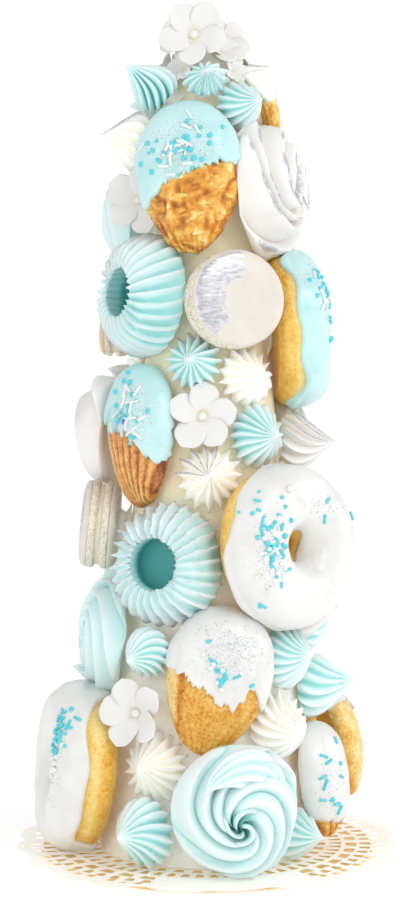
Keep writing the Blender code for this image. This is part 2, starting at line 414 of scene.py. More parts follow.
def glaze(name, light, deep):
    """Sugar glaze, clouded, with glints of dust where glitter is painted on."""
    recipe = Recipe(name, {"Subsurface Weight": 0.15, "Subsurface Scale": 0.002,
                           "Coat Roughness": 0.15, "Coat Weight": 0.25})
    _, silver, tone = recipe.paint()
    clouds = recipe.grain(14, 3)
    fine = recipe.grain(0.7, 2)
    colour = recipe.mix(recipe.step(clouds * 0.7 + tone * 0.5, 0.25, 0.75), deep, light)
    dusted = recipe.step(silver + (recipe.grain(1.6, 3) - 0.5) * 1.1, 0.34, 0.46)
    glints = recipe.step(recipe.cells(0.85), 0.42, 0.32) * dusted
    sparkle = recipe.step(recipe.grain(0.5, 2), 0.42, 0.58)
    shade = recipe.mix(sparkle, (0.42, 0.46, 0.48), (0.97, 0.98, 1.0))
    recipe.set("Base Color", recipe.mix(glints, colour, shade))
    recipe.set("Roughness", 0.26 + 0.18 * fine)
    recipe.bump(recipe.grain(3, 3) + fine * 0.5, 0.16)
    return recipe.material


def crust(name, stops, edge, coat=0.0):
    """Baked crust, with painted highlight on its ribs and wrinkles, painted shade in the creases
    between and painted highlight glints on its crumbs. The silver paint says how wrinkled it is."""
    recipe = Recipe(name, {"Subsurface Weight": 0.05, "Subsurface Scale": 0.002,
                           "Specular IOR Level": 0.45, "Coat Weight": coat,
                           "Coat Roughness": 0.12})
    crest, wrinkled, tone = recipe.paint()
    broad = recipe.grain(9, 3, 0.6)
    small = recipe.grain(1.6, 4, 0.7)
    folds = abs(recipe.grain(9, 1.5, 0.5, (0.6, 1, 1)) - 0.5) * 2
    pinches = abs(recipe.grain(4.5, 1.5, 0.5, (0.7, 1, 1)) - 0.5) * 2
    creases = recipe.step(folds, 0.0, 0.26) * 0.6 + recipe.step(pinches, 0.0, 0.3) * 0.4
    # The level carries painted highlight on the ribs and the wrinkles and painted shade in the
    # creases, over the real mottling of the bake.
    level = tone + (broad - 0.5) * 0.45 + (crest - 0.5) * 0.45
    level = level + (small - 0.5) * (1.5 - 1.1 * wrinkled) + (creases - 0.66) * 0.50 * wrinkled
    colour = recipe.ramp(level, stops)
    pits = recipe.step(recipe.cells(3.1), 0.20, 0.06) * recipe.step(broad, 0.62, 0.45)
    colour = recipe.mix(pits * 0.35, colour, edge)
    # Painted highlight glints, speckled over the crumb.
    crumb_glints = recipe.step(recipe.grain(0.9, 3, 0.8), 0.55, 0.63) * recipe.step(broad, 0.4, 0.6)
    colour = recipe.mix(crumb_glints * 0.55, colour, stops[-1][1])
    recipe.set("Base Color", colour)
    recipe.set("Roughness", 0.26 + small * (0.34 - 0.20 * wrinkled))
    relief = small * (0.8 - 0.6 * wrinkled) + creases * 0.9 * wrinkled
    recipe.bump(relief + recipe.grain(4.5, 3, 0.6) * 0.5, 1.2)
    return recipe.material


def shell_finish(name, light, deep):
    """Macaron shells: smooth, faintly dimpled, with brushed silver."""
    recipe = Recipe(name, {"Subsurface Weight": 0.1, "Subsurface Scale": 0.002})
    _, silver, tone = recipe.paint()
    colour = recipe.mix(recipe.step(recipe.grain(12, 3) * 0.8 + tone * 0.4, 0.3, 0.9), deep, light)
    streaks = recipe.grain(2.2, 5, 0.7, (0.35, 1.4, 1))
    fine = recipe.grain(1.0, 2)
    brushed_silver(recipe, colour, silver, 0.40 + 0.15 * fine, streaks)
    recipe.bump(fine * 0.5 + recipe.grain(5, 2), 0.10)
    return recipe.material


def feet_finish(name, light, deep):
    """The frilled feet of a macaron, full of small bubbles."""
    recipe = Recipe(name, {"Roughness": 0.75})
    bubbles = recipe.step(recipe.cells(1.05), 0.12, 0.34)
    speckle = recipe.grain(0.8, 3, 0.7)
    colour = recipe.mix(recipe.step(bubbles * 0.6 + speckle * 0.6, 0.35, 0.95), deep, light)
    recipe.set("Base Color", colour)
    recipe.bump(bubbles * 0.8 + speckle * 0.6, 0.5)
    return recipe.material


def icing_finish(name, light, deep, painted_glow=0.0):
    """Spread icing: clouded, and rough from the palette knife. A painted glow, where given, lifts its
    shade.
    """
    recipe = Recipe(name, {"Subsurface Weight": 0.1, "Subsurface Scale": 0.003,
                           "Specular IOR Level": 0.35, "Emission Color": (1.0, 0.92, 0.76),
                           "Emission Strength": painted_glow})
    *_, tone = recipe.paint()
    level = tone + (recipe.grain(18, 3) - 0.5) * 0.5
    recipe.set("Base Color", recipe.mix(recipe.step(level, 0.1, 0.9), deep, light))
    recipe.set("Roughness", 0.5 + 0.15 * recipe.grain(2, 2))
    recipe.bump(recipe.grain(6, 4, 0.5, (1, 1, 2.2)) + 0.3 * recipe.grain(1.2, 2), 0.5)
    return recipe.material


def petal_finish():
    """Sugar paste, yellower towards the heart of its flower."""
    recipe = Recipe("sugar_petal", {"Roughness": 0.42})
    *_, tone = recipe.paint()
    shades = ((0.0, (0.76, 0.71, 0.46)), (0.3, (0.78, 0.75, 0.66)), (0.8, (0.81, 0.80, 0.77)))
    recipe.set("Base Color", recipe.ramp(tone, shades))
    recipe.bump(recipe.grain(0.6, 2) * 0.4 + recipe.grain(5, 2), 0.08)
    return recipe.material


def paper_finish():
    # A painted glow lifts the shade on the paper.
    recipe = Recipe("embossed_paper", {"Roughness": 0.8, "Emission Color": (1.0, 0.95, 0.85),
                                       "Emission Strength": 0.15})
    fibre = recipe.grain(0.5, 3, 0.7)
    recipe.set("Base Color", recipe.mix(fibre, (0.93, 0.90, 0.83), (0.96, 0.95, 0.92)))
    recipe.bump(fibre * 0.25 + recipe.cells(1.4, "SMOOTH_F1") * 0.8, 0.18)
    return recipe.material


def gold_finish():
    recipe = Recipe("gold_foil", {"Metallic": 0.45})
    worn = recipe.grain(6, 4)
    recipe.set("Base Color", recipe.mix(worn, (0.86, 0.54, 0.14), (0.99, 0.78, 0.34)))
    recipe.set("Roughness", 0.28 + 0.2 * worn)
    recipe.bump(recipe.cells(3.0), 0.3)
    return recipe.material


def candy(name, colour, other, rough=0.3, metallic=0.0):
    """Hard sugar that drifts between two shades."""
    recipe = Recipe(name, {"Metallic": metallic})
    spot = recipe.grain(1.5, 3)
    recipe.set("Base Color", recipe.mix(spot, colour, other))
    recipe.set("Roughness", rough + 0.15 * spot)
    recipe.bump(recipe.grain(0.4, 2), 0.04)
    return recipe.material


AQUA = meringue("aqua_meringue", (0.84, 0.96, 0.96), (0.66, 0.89, 0.88), (0.34, 0.74, 0.73),
                (0.08, 0.38, 0.37))
CREAM = meringue("cream_meringue", (0.98, 0.975, 0.94), (0.975, 0.96, 0.88), (0.965, 0.93, 0.78),
                 (0.94, 0.88, 0.66), 0.05)
WHITE = meringue("white_meringue", (0.90, 0.895, 0.88), (0.85, 0.82, 0.78), (0.76, 0.70, 0.62),
                 (0.60, 0.54, 0.45))
BLUE_GLAZE = glaze("blue_glaze", (0.58, 0.84, 0.84), (0.44, 0.73, 0.74))
WHITE_GLAZE = glaze("white_glaze", (0.82, 0.82, 0.80), (0.73, 0.72, 0.68))
SPONGE = crust("sponge_crust", ((0.0, (0.34, 0.07, 0.005)), (0.28, (0.64, 0.22, 0.015)),
                                (0.52, (0.82, 0.40, 0.045)), (0.78, (0.92, 0.60, 0.16)),
                                (1.0, (0.96, 0.78, 0.38))), (0.24, 0.06, 0.01))
GLOSSY_SPONGE = crust("glossy_crust", ((0.0, (0.22, 0.035, 0.004)), (0.26, (0.52, 0.14, 0.01)),
                                       (0.52, (0.74, 0.30, 0.035)), (0.78, (0.88, 0.50, 0.12)),
                                       (1.0, (0.94, 0.72, 0.32))), (0.18, 0.03, 0.005), 0.8)
DOUGH = crust("fried_dough", ((0.0, (0.70, 0.27, 0.02)), (0.26, (0.88, 0.46, 0.06)),
                              (0.55, (0.96, 0.63, 0.14)), (0.92, (0.98, 0.79, 0.34))),
              (0.52, 0.18, 0.01))
SHELL = shell_finish("macaron_shell", (0.76, 0.72, 0.65), (0.68, 0.62, 0.54))
TAN_SHELL = shell_finish("tan_macaron_shell", (0.76, 0.60, 0.40), (0.62, 0.44, 0.25))
FEET = feet_finish("macaron_feet", (0.92, 0.86, 0.72), (0.58, 0.38, 0.18))
FILLING = icing_finish("macaron_filling", (0.84, 0.80, 0.70), (0.74, 0.66, 0.52))
ICING = icing_finish("royal_icing", (0.97, 0.95, 0.89), (0.86, 0.79, 0.54), 0.08)
PETAL = petal_finish()
PEARL = candy("pearl_sugar", (0.80, 0.79, 0.74), (0.86, 0.85, 0.82), 0.16)
PAPER = paper_finish()
GOLD = gold_finish()
AQUA_CANDY = candy("aqua_candy", (0.06, 0.58, 0.66), (0.16, 0.74, 0.80))
WHITE_CANDY = candy("white_candy", (0.82, 0.84, 0.82), (0.86, 0.90, 0.88))
PURPLE_CANDY = candy("purple_candy", (0.22, 0.12, 0.52), (0.32, 0.18, 0.62))
FLAKE = candy("silver_flake", (0.62, 0.64, 0.68), (0.90, 0.92, 0.95), 0.25, 0.6)


# ---------------------------------------------------------------- meringue kisses

# The outline of a kiss, from its seat to its tip: how high and how wide.
KISS_PROFILE = ((0.0, 0.82), (0.05, 0.94), (0.15, 1.0), (0.32, 0.92), (0.52, 0.68),
                (0.70, 0.42), (0.85, 0.20), (0.95, 0.08), (1.0, 0.0))
FOOT = 0.22  # the share of its height over which a kiss's ridges hook over
# How much the ridges of one kiss differ in depth, in reach and in spacing.
KISS_UNEVEN = (0.22, 0.03, 0.16)


def star_kiss(width, depth, seed, ridges=14, twist=20, groove=0.24, soft=0.85, silver=0.0,
              bend=0.06, toward=None, lit=120, hook=5, rows=25, tone=0.5):
    """A ribbed drop. Its ridges wind as they climb and hook over at the foot. Its tip leans
    toward an angle, and silver is brushed over the crests of the side that is lit."""
    chance = np.random.default_rng(seed)
    around, crest = flute_angles(ridges, soft)
    share, size = smooth_through(KISS_PROFILE, rows)[:-1].T
    share, size = share[:, None], np.maximum(size, 0)[:, None]
    depths, reaches, spacing = KISS_UNEVEN
    cut = groove * (0.85 + 0.5 * share) * each_ridge(chance, ridges, depths)
    reach = width / 2 * size * (1 - cut * (1 - crest)) * each_ridge(chance, ridges, reaches)
    wound = around + each_ridge(chance, ridges, spacing, 0) / ridges
    wound = wound + math.radians(twist) * share ** 0.8 + 0.10 * np.sin(share * 5 + seed)
    wound = wound - math.radians(hook) * ease(FOOT - share, 0, FOOT) * crest
    lift = depth * share * (1 - 0.05 * (1 - crest) * (1 - share))
    lean = depth * bend * share ** 2.2
    random_way = chance.uniform(0, TURN)
    toward = random_way if toward is None else math.radians(toward)
    points = round_points(reach, wound, lift) + round_points(lean, toward, 0)
    points += noise(points, width * 0.3, seed)[..., None] * width * 0.012 * (1 - share[..., None])
    lit_side = 0.5 + 0.5 * np.cos(wound - math.radians(lit))
    leaf = silver * ease(crest, 0.1, 0.7) * ease(lit_side, 0.35, 0.9) * (0.55 + 0.45 * share)
    # Painted highlight on the crests and painted shade in the grooves, which gives way to the pale
    # tip.
    paint = 0.8 * ease(crest, 0.0, 0.75) + 0.3 * ease(crest, 0.82, 1.0)
    paint = np.maximum(paint, ease(share, 0.72, 0.98))
    shape = Shape()
    shape.grid(points, paint, leaf, tone + 0.2 * share)
    tip = round_points(depth * bend, toward, depth)
    shape.lid(points[-1], middle=tip, crest=1, silver=0.3 * silver, tone=0.7)
    shape.lid(points[0], flip=True)
    return shape


KISSES = {
    "kiss_top_left": {"ridges": 13, "twist": 55, "groove": 0.36, "soft": 1.1, "tone": 0.16},
    "kiss_top_front": {"ridges": 13, "twist": 10, "groove": 0.24, "silver": 0.9, "bend": 0.42,
                       "toward": -80, "lit": -60, "size": 1.12, "shift": (1, 2, 0)},
    "kiss_top_right": {"ridges": 13, "twist": 12, "groove": 0.29},
    "kiss_top_back": {"ridges": 12, "twist": 30, "silver": 0.9},
    "kiss_high_left": {"ridges": 13, "twist": 25, "silver": 0.9},
    "kiss_middle_left": {"ridges": 15, "twist": 22, "groove": 0.30},
    "kiss_middle_right": {"ridges": 15, "twist": 18, "groove": 0.27},
    "kiss_right_middle": {"ridges": 16, "twist": 8, "groove": 0.27},
    "kiss_right_edge": {"ridges": 12, "twist": 50, "groove": 0.22, "silver": 0.9},
    "kiss_middle": {"ridges": 15, "twist": 14, "groove": 0.30, "silver": 1.0},
    "kiss_low_left": {"ridges": 14, "twist": 50, "groove": 0.24, "soft": 1.0},
    "kiss_low_right": {"ridges": 16, "twist": 30, "groove": 0.20},
    "kiss_low_right_edge": {"ridges": 12, "twist": 22, "groove": 0.24, "soft": 1.0},
    "kiss_right_back": {"ridges": 13, "twist": 20, "silver": 0.8},
    "kiss_low_cream": {"ridges": 15, "twist": 70, "groove": 0.24, "soft": 1.05, "silver": 0.6},
    "kiss_front_cream": {"ridges": 17, "twist": 16, "groove": 0.30, "silver": 0.3},
    "kiss_foot_left": {"ridges": 15, "twist": 16, "groove": 0.22, "soft": 0.95},
    "kiss_foot_right": {"ridges": 11, "twist": 12, "groove": 0.26},
}


# ---------------------------------------------------------------- piped rings

# The outline of a ring's rope from its hole over the top to its outer side: how far out it lies,
# how high, and how deep its flutes are there.
RING_PROFILE = ((-0.88, 0.0, 0.0), (-0.96, 0.25, 0.0), (-0.95, 0.60, 0.0), (-0.92, 0.86, 0.0),
                (-0.82, 0.99, 0.35), (-0.52, 1.0, 0.75), (-0.05, 0.92, 0.95), (0.38, 0.77, 1.15),
                (0.76, 0.55, 1.4), (1.0, 0.31, 1.6), (0.96, 0.11, 1.1), (0.76, 0.0, 0.4))
RING_STEPS = (0, 0.06, 0.14, 0.24, 0.40, 0.58, 0.76, 0.91)
RING_LOW = 0.24
FLUTE_DEPTH = 0.24
RIM = 0.33  # how far along the outline the ragged rim of the hole lies
# The floor is a sheet across the hole, coloured with painted shade.
SHADE_FLOOR = 0.36  # how high the bottom of the hole lies, as a share of the ring's height


def piped_ring(width, depth, seed, hole, flutes=27, slant=16, silver=0.5, close=0.0, tone=0.55):
    """A rope in a circle, fluted across, highest at the ragged rim of its hole. The hole's own
    wall is smooth and carries painted shade, down to a floor across the hole that is coloured with
    painted shade."""
    chance = np.random.default_rng(seed)
    middle = (width + hole) / 4
    half = (width - hole) / 4
    section = smooth_through(RING_PROFILE, 37)
    across, up, cut = (section[:, i][:, None] for i in range(3))
    across = across - close * np.exp(-((up - 1) / 0.2) ** 2) * ease(-across, 0.2, 0.9)
    around, crest = flute_angles(flutes, 0.9, RING_STEPS, RING_LOW)
    along = np.linspace(0, 1, len(section))[:, None]
    crest = crest ** (1.1 + 1.3 * ease(along, 0.55, 0.85))
    drop = FLUTE_DEPTH * np.clip(cut, 0, 2) * (1 - crest)
    drop = drop * each_ridge(chance, flutes, 0.25, 1, RING_STEPS)
    wound = around + math.radians(slant) * along ** 1.3
    wound = wound + each_ridge(chance, flutes, 0.30, 0, RING_STEPS) / flutes * along
    reach = middle + half * (across * (1 - 0.75 * drop) - 0.5 * drop * (across > 0))
    ragged = noise(stack(np.cos(around) * 40, np.sin(around) * 40, 0), 3.5, seed)
    at_rim = np.exp(-((along - RIM) / 0.09) ** 2)
    lift = depth * (up * (1 - drop) + 0.05 * ragged * at_rim)
    reach = reach - half * 0.10 * np.maximum(ragged, 0) * at_rim
    points = round_points(reach, wound, np.maximum(lift, 0))
    points += noise(points, 13, seed)[..., None] * 0.6 * np.array((1, 1, 0))
    # Painted highlight along the crests and painted shade in the flutes. Down the wall of the hole,
    # the paint and the tone fall to painted shade.
    inside = 1 - ease(along, 0.14, 0.34)
    paint = (0.12 + 0.44 * ease(crest, 0.0, 0.40) + 0.50 * ease(crest, 0.6, 0.95)) * (1 - inside)
    paint = paint + 2.0 * ease(along, 0.08, 0.5) * inside
    facing = 0.5 + 0.5 * np.cos(wound - math.radians(130))
    leaf = silver * ease(crest, 0.45, 0.95) * (0.6 + 0.4 * facing) * ease(along, 0.25, 0.34)
    leaf = leaf * (0.85 + 0.9 * noise(points, 4, seed + 2)) + 0.6 * silver * at_rim * (crest > 0.3)
    shape = Shape()
    shape.grid(points, paint, leaf, tone * (1 - inside), flip=True)
    shape.grid(points[[-1, 0]], 0.2, 0, 0.3, flip=True)
    # The floor across the hole, coloured with painted shade.
    floor = points[0] * (1, 1, 0) * 0.98 + (0, 0, depth * SHADE_FLOOR)
    shape.lid(floor, crest=0.12, tone=0.0)
    return shape


RINGS = {"ring_left": {"flutes": 26, "slant": 26, "silver": 0.45, "close": 0.34, "tone": 0.40},
         "ring_front": {"flutes": 28, "slant": 10, "silver": 0.9, "close": 0.12, "tone": 0.72},
         "ring_back": {"flutes": 26, "slant": 24, "silver": 0.5}}


# ---------------------------------------------------------------- piped roses

# The outline of a rose from its seat over the rim to its middle: how far out it lies, how high,
# and how deep its folds are there.
ROSE_PROFILE = ((0.80, 0.0, 0.0), (0.93, 0.12, 0.05), (1.0, 0.32, 0.25), (0.98, 0.54, 0.7),
                (0.90, 0.74, 1.0), (0.76, 0.89, 1.0), (0.60, 0.97, 0.9), (0.46, 0.98, 0.9),
                (0.34, 0.93, 1.0), (0.24, 0.80, 1.1), (0.14, 0.66, 0.9), (0.03, 0.60, 0.5))
ROUND_PROFILE = ((0.76, 0.0, 0.0), (0.92, 0.05, 0.2), (1.0, 0.17, 0.6), (0.98, 0.33, 1.0),
                 (0.90, 0.52, 1.1), (0.78, 0.69, 1.1), (0.64, 0.83, 1.1), (0.50, 0.92, 1.0),
                 (0.36, 0.96, 1.0), (0.24, 0.86, 1.1), (0.14, 0.72, 0.9), (0.03, 0.64, 0.5))
FOLD_STEPS = (0, 0.035, 0.08, 0.13, 0.19, 0.27, 0.37, 0.48, 0.60, 0.72, 0.84, 0.94)
FOLD_LOW = 0.19
FOLD_DEPTH = 0.30
TAIL_SWEEP = math.radians(175)  # how far round the rose the end of its rope goes
TAIL_RIBS = 9
SINK = 1.3  # how fast the lowering of the swirl fades towards its rim
# How far round each fold of the bud goes, how wide it lies and how high it stands.
BUD_FOLDS = ((0.62, 1.0, 1.0), (0.50, 0.86, 0.92), (0.56, 1.1, 0.86))


def rose_bud(shape, radius, depth, start, silver):
    """The middle of a rose: three thin folds that close round one another, each with painted
    highlight along its top and painted shade under it.
    """
    along = np.linspace(0, 1, 30)[:, None]
    around = once_round(12)
    for i, (span, size, tall) in enumerate(BUD_FOLDS):
        turn = start - i * TURN / 3 - along * span * TURN
        wide = (0.7 + 1.3 * along) * radius / 32
        rise = depth * (0.20 * np.sin(math.pi * (0.1 + 0.85 * along)) + 0.03)
        path = radius * size * (0.05 + 0.30 * along ** 1.3)
        reach = path + wide * np.cos(around)
        height = tall * (depth * 0.66 + rise * (1.0 + np.sin(around)) * 0.75)
        points = round_points(reach, turn, np.minimum(height, depth))
        shape.grid(points, 0.10 + 0.60 * ease(np.sin(around), -0.3, 0.9), 0.6 * silver, 0.42)
        shape.lid(points[0], flip=True, crest=0.3)
        shape.lid(points[-1], crest=0.5)


def rope_tail(shape, radius, depth, peak, silver):
    """The end of the piped rope, which lies along the rim and runs out in a ribbed point."""
    along = np.linspace(0, 1, 34)[:, None]
    around, crest = flute_angles(TAIL_RIBS, 0.95)
    angle = math.radians(peak) - (1 - along) * TAIL_SWEEP
    around = around + 0.9 * along
    rope = 0.42 * radius * ease(along, -0.1, 0.75) * (1 - along ** 3.2) + 0.15
    rope = rope * (1 - 0.34 * (1 - crest) * ease(along, 0.05, 0.5))
    reach = radius * (0.60 + 0.12 * along) + rope * np.cos(around)
    height = depth * (0.22 + 0.84 * ease(along, -0.1, 1.1) ** 1.2) + rope * 0.95 * np.sin(around)
    points = round_points(reach, angle, height)
    points += noise(points, 12, peak)[..., None] * 0.5
    # Painted highlight on the ribs and painted shade between them.
    shape.grid(points, 0.22 + 0.42 * ease(crest, 0.0, 0.4) + 0.3 * crest, 0.7 * silver * crest, 0.5,
               flip=True)
    shape.lid(points[0])
    shape.lid(points[-1], flip=True, crest=0.9)


def piped_rose(width, depth, seed, folds=6, swirl=240, start=40, peak=None, silver=0.0, pale=0.0,
               profile=ROUND_PROFILE, drop=0.0):
    """A swirl of folds that wind in from the rim to the middle. Each has a sharp edge and tucks
    in under the next. The end of the rope lies on top, if its peak is given as an angle. The
    middle of the swirl lies this far below the middle of the rose."""
    chance = np.random.default_rng(seed)
    radius = width / 2
    section = smooth_through(profile, 67)
    out, up, cut = (section[:, i][:, None] for i in range(3))
    share = np.array(FOLD_STEPS)
    fold = np.where(share < FOLD_LOW, 1 - (share / FOLD_LOW) ** 0.8,
                    1 - ((1 - share) / (1 - FOLD_LOW)) ** 1.7)
    crest = np.tile(fold, folds)
    column = (np.arange(folds)[:, None] + share).ravel() / folds * TURN
    lean = each_ridge(chance, folds, 0.24, 0, FOLD_STEPS) / folds * TURN
    wind = np.where(np.arange(len(section))[:, None] < out.argmax(), 1, out)
    turn = math.radians(start) - column - lean * ease(wind, 0.1, 0.9) - math.radians(swirl) * wind
    turn = turn + 0.16 * np.sin(wind * 5 + column * 2 + seed)
    strength = each_ridge(chance, folds, 0.35, 1, FOLD_STEPS) * cut
    tuck = 1 - crest
    reach = out * (1 + 0.05 * np.sin(3 * turn + seed) * ease(up, 0.2, 0.5)) - 0.09 * strength * tuck
    reach = np.maximum(reach, 0.01) * radius
    height = depth * (up - FOLD_DEPTH * strength * tuck)
    points = round_points(reach, turn, height)
    points[..., 1] -= drop * radius * np.clip(1 - out, 0, 1) ** SINK
    points += noise(points, 13, seed)[..., None] * 0.7
    points[..., 2] = np.clip(points[..., 2], 0, depth)
    high = ease(up, 0.12, 0.4)
    leaf = silver * (0.48 + 0.9 * noise(points, 9, seed + 4)) * high * ease(crest, 0.88, 0.99)
    # Painted highlight on the sharp edge of each fold and painted shade in its groove. The paint and
    # the tone add deeper painted shade round the middle of the swirl, and pale shifts all of this
    # paint.
    centre = 1 - ease(out, 0.12, 0.36)
    paint = (0.14 + 0.46 * ease(crest, 0.0, 0.30) + 0.28 * crest ** 3 + pale) * (1 - 0.7 * centre)
    paint = np.maximum(paint, 0.5 * (1 - high))
    shape = Shape()
    shape.grid(points, paint, leaf, 0.30 + 0.2 * high - 0.3 * centre, flip=True)
    shape.lid(points[0])
    shape.lid(points[-1], flip=True, crest=0.0, tone=0.0)
    bud = Shape()
    rose_bud(bud, radius, depth, math.radians(start + 60), silver)
    spots = np.vstack(bud.points)
    inner = 1 - np.hypot(spots[:, 0], spots[:, 1]) / radius
    spots[:, 1] -= drop * radius * np.clip(inner, 0, 1) ** SINK
    shape.add(spots, bud.faces, np.vstack(bud.paint))
    if peak is not None:
        rope_tail(shape, radius, depth, peak, silver)
    return shape


ROSES = {"rose_front": {"start": 20, "peak": 146, "profile": ROSE_PROFILE, "drop": 0.24,
                        "swirl": 250, "size": 0.96},
         "rose_right_high": {"silver": 1.0, "start": 200, "swirl": 330, "folds": 5, "pale": -0.1},
         "rose_left_high": {"pale": -0.22, "folds": 5, "swirl": 300, "start": 90},
         "rose_left_middle": {"silver": 0.3, "folds": 4, "swirl": 280, "start": 10},
         "rose_left_low": {"folds": 5, "swirl": 330, "start": 150, "pale": -0.22},
         "rose_back": {"silver": 0.6, "folds": 5, "peak": 200},
         "rose_back_low": {"peak": 110}}
MERINGUES = {"aqua_meringue": AQUA, "cream_meringue": CREAM, "white_sugar": WHITE}
PIPED = {"kiss": (star_kiss, KISSES), "ring": (piped_ring, RINGS), "rose": (piped_rose, ROSES)}


def make_meringue(node):
    """A kiss, a ring or a rose, as wide as its node or a little more or less."""
    seat = Seat(node)
    pipe, looks = PIPED[node.split("_")[0]]
    look = dict(looks.get(node, {}))
    size, shift = look.pop("size", 1), look.pop("shift", (0, 0, 0))
    if pipe is piped_ring:
        look["hole"] = seat.hole
    shape = pipe(size * seat.width, seat.depth, seat.seed, **look)
    matrix = seat.matrix @ Matrix.Translation(Vector(shift) * MM)
    piece(node + "_piped", shape, MERINGUES[seat.slot], seat.slot, matrix, node)


# ---------------------------------------------------------------- sugar toppings

TOPPINGS = {"aqua_rods": (AQUA_CANDY, "aqua_meringue"),
            "white_rods": (WHITE_CANDY, "white_sugar"),
            "aqua_beads": (AQUA_CANDY, "aqua_meringue"),
            "white_beads": (WHITE_CANDY, "white_sugar"),
            "pearls": (PEARL, "white_sugar"),
            "purple_beads": (PURPLE_CANDY, "aqua_meringue"),
            "glitter": (FLAKE, "white_sugar")}
SCATTERED = {kind: Shape() for kind in TOPPINGS}
ROD_LENGTHS = {"white_rods": (5.0, 8.8), "aqua_rods": (2.6, 6.6)}
ROD_RADII, ROD_RISE = (0.62, 0.9), 0.45
# The least and greatest radius of the balls, the rings and sides of their mesh, and how far their
# middle stands over what they lie on.
BEAD = ((0.8, 1.5), 7, 9, 0.4)
BALLS = {"aqua_beads": BEAD, "white_beads": BEAD, "purple_beads": BEAD,
         "pearls": ((1.7, 2.2), 11, 16, 1.0), "glitter": ((0.22, 0.5), 3, 4, 0.1)}
EDGE_ON = 0.12  # the least that a slope may face outwards for a topping to stay on it


def rod_points(length, radius):
    """A little rod with round ends, lying along x."""
    around = once_round(7)
    x = np.array((-1, -0.94, -0.80, 0.80, 0.94, 1))[:, None]
    size = np.array((0.25, 0.75, 1, 1, 0.75, 0.25))[:, None] * radius
    return stack(x * length / 2, size * np.cos(around), size * np.sin(around))


def ball_points(radius, rings, sides):
    """A ball, as rings of points that go from one pole to the other along x."""
    around = once_round(sides)
    down = np.linspace(0.12, math.pi - 0.12, rings)[:, None]
    return stack(-radius * np.cos(down), radius * np.sin(down) * np.cos(around),
                 radius * np.sin(down) * np.sin(around))


def topping(kind, chance):
    """The points of one topping, and how far its middle stands over what it lies on."""
    if kind in ROD_LENGTHS:
        length = chance.uniform(*ROD_LENGTHS[kind])
        return rod_points(length, chance.uniform(*ROD_RADII)), ROD_RISE
    radii, rings, sides, rise = BALLS[kind]
    return ball_points(chance.uniform(*radii), rings, sides), rise


def strew(kind, seat, spot, normal, heading, points, rise):
    """Puts one topping on a sweet, partly in it, in the shape that holds all of its kind."""
    normal = Vector(normal).normalized()
    along = Vector((math.cos(heading), math.sin(heading), 0))
    along = (along - normal * along.dot(normal)).normalized()
    turn = np.array(Matrix((along, normal.cross(along), normal)).transposed())
    local = points @ turn.T + np.array(spot) + np.array(normal) * rise
    matrix = np.array(seat.matrix)
    world = local @ matrix[:3, :3].T + matrix[:3, 3] / MM
    shape = SCATTERED[kind]
    shape.grid(world)
    shape.lid(world[0], flip=True)
    shape.lid(world[-1])


def sprinkle(seat, shape, chance, plans):
    """Scatters toppings over a sweet. A plan is a kind, how many, the middle of the patch and
    how far it spreads, all across the sweet as seen from outside."""
    ground = BVHTree.FromPolygons(np.vstack(shape.points).tolist(), shape.faces)
    for kind, count, middle, spread in plans:
        for _ in range(count):
            x, y = np.array(middle) + chance.normal(0, 1, 2) * spread
            spot, normal, *_ = ground.ray_cast(Vector((x, y, 90)), Vector((0, 0, -1)))
            if spot is None or abs(normal.z) < EDGE_ON:
                continue
            normal = normal if normal.z > 0 else -normal
            strew(kind, seat, spot, normal, chance.uniform(0, TURN), *topping(kind, chance))


GLAZE_THICKNESS = 1.3
DUST_SPREAD = 1.5  # how much farther the finest glitter spreads than its flakes


def glittered(points, plans):
    """How much glitter dust lies on these points, round the patches of the plans that have it."""
    dust = np.zeros(points.shape[:-1])
    for kind, _, middle, spread in plans:
        if kind == "glitter":
            off = (points[..., :2] - np.array(middle)) / np.array(spread) / DUST_SPREAD
            dust = np.maximum(dust, np.exp(-(off ** 2).sum(-1)))
    return dust


def finish_glaze(node, seat, glazing, white, toppings):
    """The glaze of a sweet as a piece, and its toppings."""
    finish, slot = (WHITE_GLAZE, "white_sugar") if white else (BLUE_GLAZE, "aqua_meringue")
    piece(node + "_glaze", glazing, finish, slot, seat.matrix)
    sprinkle(seat, glazing, np.random.default_rng(seat.seed + 8), toppings)


# ---------------------------------------------------------------- madeleines

MADELEINE_PROFILE = ((0.0, 1.0), (0.26, 0.985), (0.50, 0.93), (0.72, 0.80), (0.89, 0.60),
                     (0.99, 0.38), (0.985, 0.16), (0.89, 0.0))
BODY_TABLE = smooth_through(MADELEINE_PROFILE, 60)
BODY_STEPS = np.linspace(0, 1, 60)
NARROWING = 0.17  # how much narrower its foot is than its shoulders
CROWN_LEAN = 0.13  # how far its crown leans up the cone, as a share of half its length
FAN = 1.35  # how far below its middle the ribs would meet, in half lengths
GLAZE_MIDDLE = 0.38  # how far up the sweet the middle of its glaze lies
CRUST_GRID, GLAZE_SIDES = (56, 144), 150


